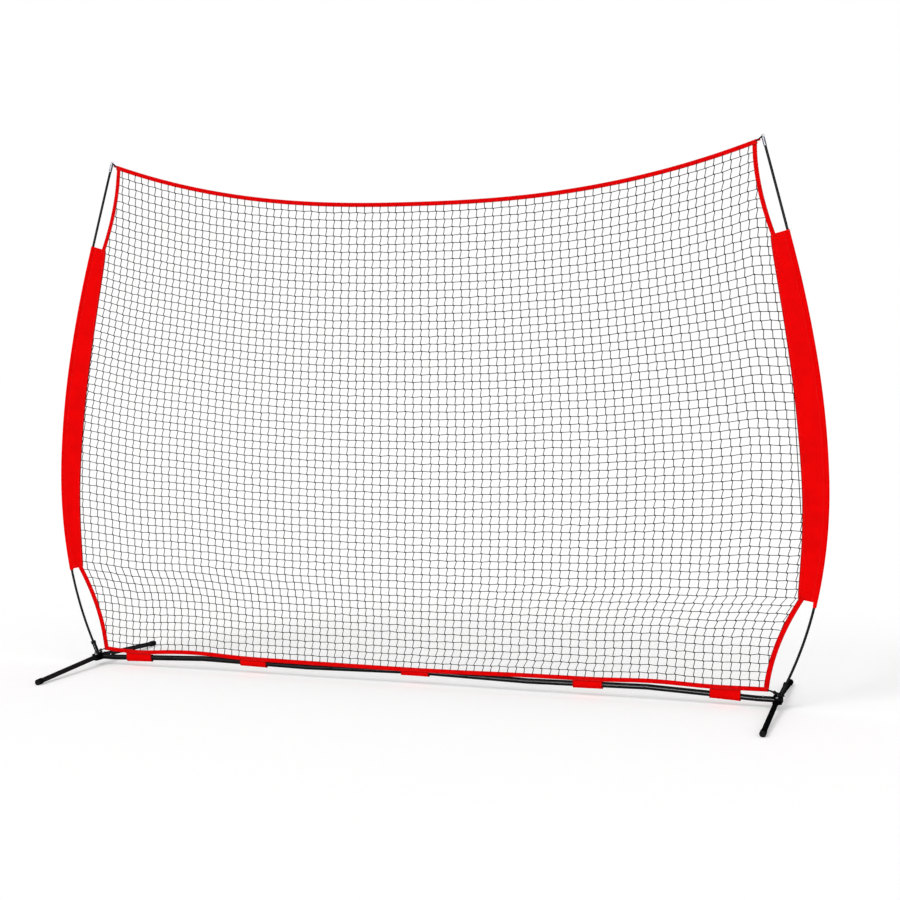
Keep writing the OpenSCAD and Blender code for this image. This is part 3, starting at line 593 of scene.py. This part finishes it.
def grow(tree, name, base, material, **sizes):
    """Runs a tree on a mesh of lines or points, and places the plain mesh that it makes."""
    source = place_mesh(name + "_base", base)
    modifier = source.modifiers.new("grow", "NODES")
    modifier.node_group = tree
    for item in tree.interface.items_tree:
        if item.item_type == "SOCKET" and item.in_out == "INPUT":
            if item.name == "Material":
                modifier[item.identifier] = material
            elif item.name in sizes:
                modifier[item.identifier] = sizes[item.name]
    graph = bpy.context.evaluated_depsgraph_get()
    mesh = bpy.data.meshes.new_from_object(source.evaluated_get(graph), depsgraph=graph)
    source.modifiers.clear()
    bpy.data.objects.remove(source)
    mesh.name = name
    mesh.shade_smooth()
    return place_mesh(name, mesh)


def stitch(name, runs, slot):
    keep(grow(STITCHES, name, lines(name, runs), THREAD), slot)


# ================================================================ the net: knotted twine in square meshes
COLUMNS, ROWS = 92, 62
ROW_R, COLUMN_R = 0.0018, 0.0023
KNOT_STEP = (3.2, 2.4)
INTO_SIDE, NARROWING = 7, 9
LOW_SWING, ZIGZAG_X, ZIGZAG_Z, SCATTER = 22, 0.8, 1.1, 0.8
chance = np.random.default_rng(5)


def smooth(share):
    share = np.clip(share, 0, 1)
    return share * share * (3 - 2 * share)


def column_x(u, z):
    """Where the columns run: furthest apart at about 1 m, and drawn in towards the top and, below the
    sleeves, towards the bottom. The net hangs a little to the right of its frame's middle."""
    high = smooth((z - 1050) / 1400)
    low = 0.2 * np.clip((900 - z) / 300, 0, 1) + 0.8 * (1 - (1 - np.clip((545 - z) / 270, 0, 1)) ** 2)
    spread = 16 + 2113 * u + 43 * u ** 2
    return spread * (1 - 0.052 * low) - (15 + 127 * u + 19 * u ** 2 + 64 * u ** 3) * high


def row_height(u, v, z):
    """Height of the net's rows: they follow both edges, with taller cells near the top, and to the right
    they sag a little and end level. z is the height found the time before."""
    x = np.minimum(column_x(u, z), 1700)
    low, high = bottom_edge(x) + WEBBING_W - 10, top_edge(x, 2.0) - WEBBING_W + 11
    sag = 31 * np.clip((x - 700) / 1000, 0, 1) * np.sin(np.pi * np.clip((v - 0.1) / 0.85, 0, 1))
    return low + (v + 0.016 * (v ** 5 - v)) * (high - low) - sag


def net_grid():
    """The knots' places. The lowest two rows swing to the left, and all knots zigzag and scatter."""
    u, v = np.meshgrid(np.linspace(-1, 1, COLUMNS + 2)[1:-1], np.linspace(0, 1, ROWS + 1))
    z = 100 + 2400 * v
    for _ in range(8):
        z = row_height(u, v, z)
    x = column_x(u, z)
    slack = np.clip(2.5 - np.arange(ROWS + 1), 0, 2)[:, None] / 2
    x = x - LOW_SWING * slack * np.exp(-((x - 450) / 650) ** 2)
    odd = (np.indices(x.shape).sum(0) % 2) * 2 - 1
    x = x + ZIGZAG_X * odd + chance.normal(0, SCATTER, x.shape)
    z = z + ZIGZAG_Z * odd + chance.normal(0, SCATTER, x.shape)
    return x, z


def on_net(x, z, out=0.0):
    return [x, net_y(z) + out, z]


def crossing(a, b):
    """Where the line from a, inside the net, to b, beyond its side, has run far enough into the side."""
    for share in np.linspace(0, 1, 41):
        p = a + share * (b - a)
        if abs(p[0]) > side_x(p[1]) + INTO_SIDE:
            break
    return p


def tucked(run):
    """A strand with one more point near each end, where it starts to narrow."""
    run = np.array(run, float)
    for _ in range(2):
        way = run[1] - run[0]
        share = min(0.9, NARROWING / np.linalg.norm(way))
        run = np.vstack([run[0], run[0] + way * share, run[1:]])[::-1]
    return run


def through_knot(x, z):
    """A column's way through a knot: in at its upper left, out at its lower right."""
    return [on_net(x + KNOT_STEP[0], z - KNOT_STEP[1]), on_net(x - KNOT_STEP[0], z + KNOT_STEP[1])]


def make_net():
    x, z = net_grid()
    inside = np.abs(x) < side_x(z) - 2
    rows, columns, knots = [], [], []
    for j in range(1, ROWS):
        picked = np.flatnonzero(inside[j])
        run = [on_net(x[j, i], z[j, i]) for i in picked]
        ends = ((picked[0], picked[0] - 1, 0), (picked[-1], picked[-1] + 1, len(run) + 1))
        for end, beyond, at in ends:
            cut = crossing(*(np.array([x[j, i], z[j, i]]) for i in (end, beyond)))
            run.insert(at, on_net(*cut))
        rows.append(tucked(run))
    for i in range(x.shape[1]):
        picked = [j for j in range(ROWS + 1) if inside[j, i]]
        if len(picked) < 3:
            continue
        knotted = [j for j in picked if 0 < j < ROWS]
        run = [p for j in knotted for p in through_knot(x[j, i], z[j, i])]
        if picked[0] > 0:
            cut = crossing(*(np.array([x[j, i], z[j, i]]) for j in (picked[0], picked[0] - 1)))
            run.insert(0, on_net(*cut))
        else:
            run.insert(0, on_net(x[0, i], z[0, i]))
        if picked[-1] < ROWS:
            cut = crossing(*(np.array([x[j, i], z[j, i]]) for j in (picked[-1], picked[-1] + 1)))
            run.append(on_net(*cut))
        else:
            run.append(on_net(x[ROWS, i], max(top_edge(x[ROWS, i]) - WEBBING_W + 5, z[ROWS, i] + 1)))
        columns.append(tucked(run))
        knots += [on_net(x[j, i], z[j, i]) for j in knotted]
    for word, runs, radius in (("rows", rows, ROW_R), ("columns", columns, COLUMN_R)):
        made = grow(CORD, f"net_{word}", lines(word, runs, 0.5), TWINE, radius=radius, sides=5)
        keep(made, "black_net_cord", "net_mesh")
    points = lines("knots", [[k] for k in knots])
    keep(grow(KNOTS, "net_knots", points, TWINE), "black_net_cord", "net_mesh")


make_net()


# ================================================================ webbing round the net
SECTION_W = np.array([-1, -0.97, -0.88, -0.6, -0.3, 0, 0.3, 0.6, 0.88, 0.97, 1])
SECTION_T = np.array([0.4, 0.85, 1.06, 0.97, 1, 1, 1, 0.97, 1.06, 0.85, 0.4])
LAP = WEBBING_T + 0.15
STITCH_ROWS = (-0.72, 0.72)


def directions(points):
    """The unit direction of a line at each of its points."""
    way = np.gradient(np.array(points, float), axis=0)
    return way / np.linalg.norm(way, axis=1)[:, None]


def strap(name, line, node, out=None, width=WEBBING_W, thick=WEBBING_T):
    """A strap of webbing in the net's plane, centred on a line of points [x, z]. out sets it back from
    the plane at each point. Returns its two rows of stitches, which go on both faces."""
    line = np.array(line, float)
    out = np.zeros(len(line)) if out is None else np.array(out, float)
    way = directions(line)
    cross = np.stack([-way[:, 1], way[:, 0]], 1)
    w = np.concatenate([SECTION_W, SECTION_W[::-1]]) * width / 2
    t = np.concatenate([-SECTION_T, SECTION_T[::-1]]) * thick / 2
    rings = []
    for centre, side, set_back in zip(line, cross, out):
        p = centre + w[:, None] * side
        rings.append(np.stack([p[:, 0], net_y(p[:, 1]) + t + set_back, p[:, 1]], 1))
    along = distances(line)
    across = distances(np.stack([w, t], 1)[list(range(len(w))) + [0]])
    made = loft(name, rings, along, [across] * len(rings), WEBBING)
    keep(made, "red_webbing", *([node] if node else []))
    runs = []
    for place in STITCH_ROWS:
        edge = line + place * width / 2 * cross
        for face in (-1, 1):
            y = net_y(edge[:, 1]) + face * (thick / 2 + 0.05) + out
            runs.append(np.stack([edge[:, 0], y, edge[:, 1]], 1))
    return runs


def even(points, spacing=18):
    """A line of points taken again at even spacing."""
    points = np.array(points, float)
    run = distances(points)
    at = np.linspace(0, run[-1], max(3, int(run[-1] / spacing)))
    return np.stack([np.interp(at, run, points[:, k]) for k in range(points.shape[1])], 1)


def beside(points, w):
    """The line moved to the right of its direction by w."""
    way = directions(points)
    return np.array(points) + w * np.stack([way[:, 1], -way[:, 0]], 1)


def crossed_box(a, b):
    """A box of half sizes a and b with its two diagonals, in one line."""
    return [(-a, -b), (a, -b), (a, b), (-a, b), (-a, -b), (a, b), (a, -b), (-a, b)]


def box_stitch(centre, size, lean=0.0, out=0.0, face=-1):
    """A sewn square with its two diagonals, on the net's plane."""
    corner = crossed_box(size / 2, size / 2)
    c, s = math.cos(lean), math.sin(lean)
    lift = out + face * (WEBBING_T / 2 + 0.15)
    return [on_net(centre[0] + a * c - b * s, centre[1] + a * s + b * c, lift) for a, b in corner]


def flipped(run):
    return [[-p[0], p[1], p[2]] for p in run]


HALF_BOX = np.array([WEBBING_W / 2, WEBBING_W / 2])
BOX = 15


def run_on(line, *lengths):
    """A line that runs straight on past its end by the given lengths."""
    line = np.array(line, float)
    way = (line[-1] - line[-2]) / np.linalg.norm(line[-1] - line[-2])
    return np.vstack([line, line[-1] + np.outer(lengths, way)])


def make_webbing():
    runs = []
    top = [(x, top_edge(x) - WEBBING_W / 2) for x in np.linspace(-TOP_X, TOP_X, 221)]
    runs += strap("top_webbing", even(top), "top_border")
    bottom = [(x, bottom_edge(x) + WEBBING_W / 2) for x in np.linspace(-CORNER_X, CORNER_X, 361)]
    runs += strap("bottom_webbing", even(bottom, 12), "bottom_border")
    # the side webbing runs on behind the top and bottom webbing, where it is sewn down, and its
    # other end is held between the two layers of the sleeve
    low = run_on(even(beside(LOW_SIDE, LOWER_W / 2))[::-1], 3, 10, 19)[::-1]
    low = run_on(low, 8, 16)
    high = run_on(even(beside(HIGH_SIDE, WEBBING_W / 2)), 3, 10, 19)
    high = run_on(high[::-1], 8, 16)[::-1]
    parts = (("lower", low, slice(0, 4), 4, LOWER_W), ("upper", high, slice(-4, None), -5, WEBBING_W))
    tongue = np.array([TOP_X - 8, TOP_Z - 9]) + np.outer(np.linspace(0, 24, 6), (0.97, 0.24))
    tongue_out = np.full(6, -WEBBING_T - 0.1)
    for side, word in ((1, "right"), (-1, "left")):
        mirror = np.array([side, 1])
        for part, line, behind, bend, width in parts:
            out = np.zeros(len(line))
            out[behind] = LAP
            out[bend] = WEBBING_T / 2
            runs += strap(f"{word}_{part}_webbing", line * mirror, f"{word}_{part}_border", out, width)
        runs += strap(f"{word}_corner_tongue", tongue * mirror, None, tongue_out, 11, 1.8)
        for corner in (LOW_CORNER + HALF_BOX * np.array([1, -1]), HIGH_CORNER + HALF_BOX):
            lean = 0.0 if corner[1] < 1000 else side * math.atan(0.27)
            runs.append(box_stitch(corner * mirror, BOX, lean))
            runs.append(box_stitch(corner * mirror, BOX, lean, LAP, 1))
    stitch("webbing_stitches", runs, "red_webbing")


make_webbing()


# ================================================================ sleeves: cloth folded round the poles
CHANNEL_R = 9.3
CHANNEL_OPEN = math.radians(125)
SEAM = 17.0
HALF_GAP, ROOT_SHARE = 1.05, 0.27
TAIL = {1: 24, -1: 6}
# the points of the profile that are stitched: two in the hem and one beside the pole
HEM_POINTS, SEAM_POINT = (2, 4), 17


def sleeve_profile(w, y, cloth, ripple):
    """Half of the cloth's middle line, from the net's edge to the far side of the pole, as distances
    inward from the pole, heights above the net's plane, and the cloth's thickness."""
    start, top = -CHANNEL_R * math.cos(CHANNEL_OPEN), CHANNEL_R * math.sin(CHANNEL_OPEN)
    flat = np.concatenate([[w, w - 1, w - 3, w - 7, w - 11, w - 13, w - 14],
                           np.linspace(w - 18, SEAM + 3, 9), [SEAM + 1, SEAM]])
    curve = np.linspace(SEAM, start, 7)[1:-1]
    turn = np.linspace(CHANNEL_OPEN, 0, 11)
    d = np.concatenate([flat, curve, -CHANNEL_R * np.cos(turn)])
    share = np.clip((d - start) / (SEAM - start), 0, 1)
    lift = (2 * share ** 3 - 3 * share ** 2 + 1) * top + (3 * share ** 2 - 2 * share ** 3) * HALF_GAP
    lift += (share ** 3 - 2 * share ** 2 + share) * (SEAM - start) / math.tan(CHANNEL_OPEN)
    lift = np.where(d > SEAM, HALF_GAP + 0.25 * np.clip(d - (w - 14), 0, 1), lift)
    lift[len(flat) + len(curve):] = CHANNEL_R * np.sin(turn)
    flat_y = y * (ROOT_SHARE + (1 - ROOT_SHARE) * (d - SEAM) / (w - SEAM))
    middle = np.where(d > SEAM, flat_y, ROOT_SHARE * y * share ** 2 * (3 - 2 * share))
    middle[len(flat) + len(curve):] = 0
    loose = np.clip((d - SEAM) / (w - 13 - SEAM), 0, 1)
    thick = np.where(d > w - 13.5, cloth + 0.6, cloth)
    return d, lift, middle + ripple * np.sin(math.pi * loose) ** 0.8, thick


def make_sleeve(side, word):
    """A sleeve. Its channel hangs further down the pole than its flat part, more so on the right."""
    noise = np.random.default_rng(20 + side)
    pulls = [(noise.uniform(0.02, 0.11), noise.uniform(0, 6.28), noise.uniform(0.2, 0.55))
             for _ in range(7)]
    rings, across, seams, along, spans, from_edge = [], [], [], [], [], []
    length = SLEEVE_TO - SLEEVE_FROM
    near = np.array([0, 1.5, 5, 12, 19, 20.5, 22])
    for s in np.concatenate([near, np.linspace(30, length - 30, 190), length - near[::-1]]):
        w = sleeve_width(s / length)
        hem = 1.5 if min(s, length - s) < 20 else 0.9
        calm = min(1, min(s, length - s) / 60)
        ripple = calm * sum(a * math.sin(f * s + p) for f, p, a in pulls)
        edge = inward(sleeve_place(s / length), w)
        d, lift, middle, thick = sleeve_profile(w, net_y(edge[1]), hem, ripple)
        path = np.vstack([np.stack([d, middle + lift], 1), np.stack([d, middle - lift], 1)[::-1][1:]])
        cloth = np.concatenate([thick, thick[::-1][1:]])
        way = directions(path)
        normal = np.stack([-way[:, 1], way[:, 0]], 1)
        if normal[0, 1] < 0:
            normal = -normal

        def put(section):
            tail = TAIL[side] * np.clip(1 - s / 70, 0, 1) * np.clip((9 - section[:, 0]) / 2, 0, 1)
            points = [inward(pole_place(SLEEVE_FROM + s - t), q) for t, q in zip(tail, section[:, 0])]
            return np.array([[side * q[0], h, q[1]] for q, h in zip(points, section[:, 1])])

        outer, inner = path + normal * cloth[:, None] / 2, path - normal * cloth[:, None] / 2
        rings.append(put(np.vstack([outer, inner[::-1]])))
        both = w - np.concatenate([d, d[::-1][1:]])
        from_edge.append(np.concatenate([both, both[::-1]]))
        seams.append(put(path + normal * (cloth[:, None] / 2 + 0.05)))
        run = distances(path)
        spans.append(run[-1])
        across.append(np.concatenate([run, run[::-1], [run[0]]]))
        along.append(s)
    made = loft(f"{word}_sleeve_cloth", rings, along, across, OXFORD, 50)
    keep(made, "red_cloth", f"{word}_sleeve")
    mark_edges(made, from_edge)
    last, count = len(seams[0]) - 1, len(seams)
    front = (*HEM_POINTS, SEAM_POINT)
    runs = [[seams[k][j] for k in range(1, count - 1)] for j in (*front, *(last - j for j in front))]
    for k in (2, 4, count - 3, count - 5):
        runs += [seams[k][1:SEAM_POINT + 1], seams[k][last - SEAM_POINT:last]]
    stitch(f"{word}_sleeve_stitches", runs, "red_cloth")


make_sleeve(1, "right")
make_sleeve(-1, "left")


# ================================================================ tabs: cloth strips round the base bar
def bar_place(x):
    """Height and slope of the bar at distance x from its middle."""
    x0 = abs(x)
    n = 0 if x0 < BAR_JOINTS[1][0] else 1 if x0 < BAR_JOINTS[2][0] else 2
    (xa, za), (xb, zb) = BAR_JOINTS[n], BAR_JOINTS[n + 1]
    slope = (zb - za) / (xb - xa)
    return za + (x0 - xa) * slope, math.atan(slope) * (1 if x >= 0 else -1)


HALF_TAB, TAB_T, TAB_SLACK = 75, 1.6, 4.5
HEAD_BOX = (62, 7)


def make_tab(number, x, sag):
    """A strip of cloth sewn behind the webbing, that hangs a little slack under the bar."""
    z, heading = bar_place(x)
    if x == 0:
        heading = 0.0
    r = BAR_R + 0.6 + sag + 0.9
    head = bottom_edge(x) + WEBBING_W - 3 - z + sag
    turn = np.radians(np.linspace(180, 478, 46))
    under = TAB_SLACK * np.clip(-np.sin(turn), 0, 1) ** 1.5
    path = np.vstack([[(-r, h) for h in np.linspace(head, 3, 8)],
                      np.stack([r * np.cos(turn), r * np.sin(turn) - under], 1)])
    run = distances(path)
    way = directions(path)
    normal = np.stack([-way[:, 1], way[:, 0]], 1)
    normal *= np.sign((normal * path).sum(1))[:, None]
    noise = np.random.default_rng(40 + number)
    phase = noise.uniform(0, 6.28, 4)
    c, s = math.cos(heading), math.sin(heading)
    rings, along, across, sewn, from_edge = [], [], [], [], []
    hem = np.array([-1, -0.99, -0.93, -0.9, -0.885])
    spread = np.concatenate([hem, np.linspace(-0.8, 0.8, 17), -hem[::-1]])
    for place in spread:
        corner = np.clip(1 - np.minimum(run, run[-1] - run) / 7, 0, 1)
        x_here = place * HALF_TAB * (1 - 0.09 * corner ** 2 * abs(place) ** 6)
        lump = 0.35 * np.sin(run / 9 + phase[0] + place * 3) * np.sin(place * 5 + phase[1])
        lump += 0.25 * np.sin(place * 21 + phase[2]) * np.sin(run / 23 + phase[3])
        lump = (lump + 0.4) * np.clip(run / 20, 0, 1)
        cloth = TAB_T + (0.5 if abs(place) > 0.895 else 0.0)
        outer = path + normal * (lump[:, None] + cloth / 2)
        inner = path + normal * (lump[:, None] * 0.6 - TAB_T / 2)
        section = np.vstack([outer, inner[::-1]])
        xs = np.concatenate([x_here, x_here[::-1]])
        rings.append(np.stack([x + xs * c - section[:, 1] * s, section[:, 0],
                               z - sag + xs * s + section[:, 1] * c], 1))
        along.append(place * HALF_TAB)
        from_edge.append(np.full(len(xs), HALF_TAB - abs(place) * HALF_TAB))
        across.append(np.concatenate([run, run[::-1], [run[0]]]))
        lift = np.stack([np.zeros(len(path)), normal[:, 0], normal[:, 1]], 1) * 0.1
        sewn.append(rings[-1][:len(path)] + lift)
    made = keep(loft(f"tab_{number}", rings, along, across, OXFORD, 50), "red_cloth", "base_tabs")
    mark_edges(made, from_edge)
    last = len(spread) - 3
    runs = [sewn[2], sewn[last]]
    runs += [[sewn[k][j] for k in range(2, last + 1)] for j in (len(path) - 3, len(path) - 7)]
    # where the tab's head is sewn to the webbing, a long box of stitches shows on the webbing's face
    level = bottom_edge(x) + WEBBING_W / 2
    box = crossed_box(*HEAD_BOX)
    runs.append([on_net(x + a, level + b, -WEBBING_T / 2 - 0.15) for a, b in box])
    stitch(f"tab_{number}_stitches", runs, "red_cloth")


for number, (x, sag) in enumerate(TABS, 1):
    make_tab(number, x, sag)


# ================================================================ corner loops, and the elastics inside
LOOP_R = 0.003


def loop_line(start, end, turn, root):
    """A loop from a net corner round something at the far end, as in the solids but smoother."""
    start, end = np.array(start, float), np.array(end, float)
    reach = np.linalg.norm(end - start)
    leg = [(-6, root * 0.6), (0, root), (reach * 0.3, root + (turn - root) * 0.25),
           (reach * 0.6, root + (turn - root) * 0.7)]
    bend = [(reach + turn * math.cos(a), turn * math.sin(a)) for a in np.radians(np.linspace(90, -90, 19))]
    flat = leg + bend + [(along, -y) for along, y in leg[::-1]]
    return [start + q[0] / reach * (end - start) + np.array([0, q[1], 0]) for q in flat]


def overhand(centre, size, lean):
    """The line of a small overhand knot."""
    run = []
    for a in np.linspace(0, 2 * math.pi, 40):
        r = 2 + math.cos(3 * a)
        p = np.array([r * math.cos(2 * a), 1.1 * math.sin(3 * a), r * math.sin(2 * a)]) * size / 3
        c, s = math.cos(lean), math.sin(lean)
        run.append([centre[0] + p[0] * c - p[2] * s, centre[1] + p[1], centre[2] + p[0] * s + p[2] * c])
    return run


def make_cords():
    top_start = np.array([TOP_X + 1, net_y(TOP_Z), TOP_Z - WEBBING_W / 3])
    centre = np.array([EYE_CENTRE[0], 0, EYE_CENTRE[1]])
    top_end = centre + EYE_R * (top_start - centre) / np.linalg.norm(top_start - centre)
    top = loop_line(top_start, top_end, 4.8, 3.2)
    low_start = [CORNER_X + 1, net_y(CORNER_Z), CORNER_Z + WEBBING_W / 3]
    low_end = [POLE_ROOT[0] + 9 * math.tan(POLE_LEAN), 0, POLE_ROOT[1] + 9]
    low = loop_line(low_start, low_end, 11 / math.cos(POLE_LEAN) + 5, 3.2)
    for side, word in ((1, "right"), (-1, "left")):
        for name, run, node in (("top", top, "top_loops"), ("bottom", low, "bottom_loops")):
            run = run if side > 0 else flipped(run)
            made = grow(CORD, f"{word}_{name}_loop_cord", lines(name, [run]), ELASTIC,
                        radius=LOOP_R, sides=12)
            keep(made, "black_elastic", node)
        knot = np.array(low_start) + 0.5 * (np.array(low_end) - low_start)
        knot = overhand([side * knot[0], knot[1], knot[2]], 7, side * -0.5)
        made = grow(CORD, f"{word}_bottom_loop_knot", lines("knot", [knot]), ELASTIC,
                    radius=LOOP_R, sides=8)
        keep(made, "black_elastic", "bottom_loops")
        pole = [pole_place(s) for s in np.linspace(0, POLE_LENGTH, 60)]
        run = [[side * p[0], 0, p[1]] for p in pole]
        made = grow(CORD, f"{word}_pole_elastic", lines("pole", [run]), ELASTIC, radius=0.0015, sides=8)
        keep(made, "black_elastic", f"{word}_pole_cord")
    half = BAR_JOINTS[:3] + [(BAR_END - 22, HUB_HEIGHT), (BAR_END + 11, HUB_HEIGHT)]
    run = [[-x, 0, z] for x, z in half[:0:-1]] + [[x, 0, z] for x, z in half]
    made = grow(CORD, "bar_elastic", lines("bar", [run]), ELASTIC, radius=0.0025, sides=10)
    keep(made, "black_elastic", "base_cord")
    knots = [overhand([side * (BAR_END + 12), 0, HUB_HEIGHT], 5, 0.4) for side in (1, -1)]
    made = grow(CORD, "bar_elastic_knots", lines("knots", knots), ELASTIC, radius=0.002, sides=8)
    keep(made, "black_elastic", "base_cord")


make_cords()


# ================================================================ floor and light
def seen(tree):
    """1 for rays that the camera sees, straight, mirrored or refracted, and 0 for those that only light
    the scene."""
    ray = add(tree, "ShaderNodeLightPath").outputs
    drawn = maths(tree, "MAXIMUM", ray["Is Camera Ray"], ray["Is Glossy Ray"])
    return maths(tree, "MAXIMUM", drawn, ray["Is Transmission Ray"])


def set_stage():
    ground = bpy.data.meshes.new("floor")
    corners = [(x * 200, y * 200, 0) for x, y in ((-1, -1), (1, -1), (1, 1), (-1, 1))]
    ground.from_pydata(corners, [], [(0, 1, 2, 3)])
    floor = place_mesh("floor", ground)
    material = bpy.data.materials.new("painted_floor")
    tree = empty_tree(material)
    paint = add(tree, "ShaderNodeBsdfDiffuse", {"Color": (0.86, 0.86, 0.86, 1)})
    strength = maths(tree, "MULTIPLY", seen(tree), 0.235)
    glow = add(tree, "ShaderNodeEmission", {"Color": (1, 1, 1, 1), "Strength": strength})
    both = add(tree, "ShaderNodeAddShader", {0: paint, 1: glow})
    add(tree, "ShaderNodeOutputMaterial", {"Surface": both})
    ground.materials.append(material)

    world = bpy.data.worlds.new("studio")
    scene.world = world
    tree = empty_tree(world)
    light = mapped(tree, seen(tree), (0.58, 1.0))
    backdrop = add(tree, "ShaderNodeBackground", {"Color": (1, 1, 1, 1), "Strength": light})
    add(tree, "ShaderNodeOutputWorld", {"Surface": backdrop})

    # the strip light only draws the long highlight on the dark tubes
    lights = (("key_light", 1.25, 24, 48, -28), ("fill_light", 0.35, 50, 60, 50),
              ("strip_light", 8.0, 16, 86, -8))
    for name, strength, angle, tilt, turn in lights:
        data = bpy.data.lights.new(name, "SUN")
        data.energy, data.angle = strength, math.radians(angle)
        lamp = bpy.data.objects.new(name, data)
        lamp.rotation_euler = (math.radians(tilt), 0, math.radians(turn))
        lamp.visible_diffuse = name != "strip_light"
        scene.collection.objects.link(lamp)
    scene.view_settings.view_transform = "Standard"


set_stage()
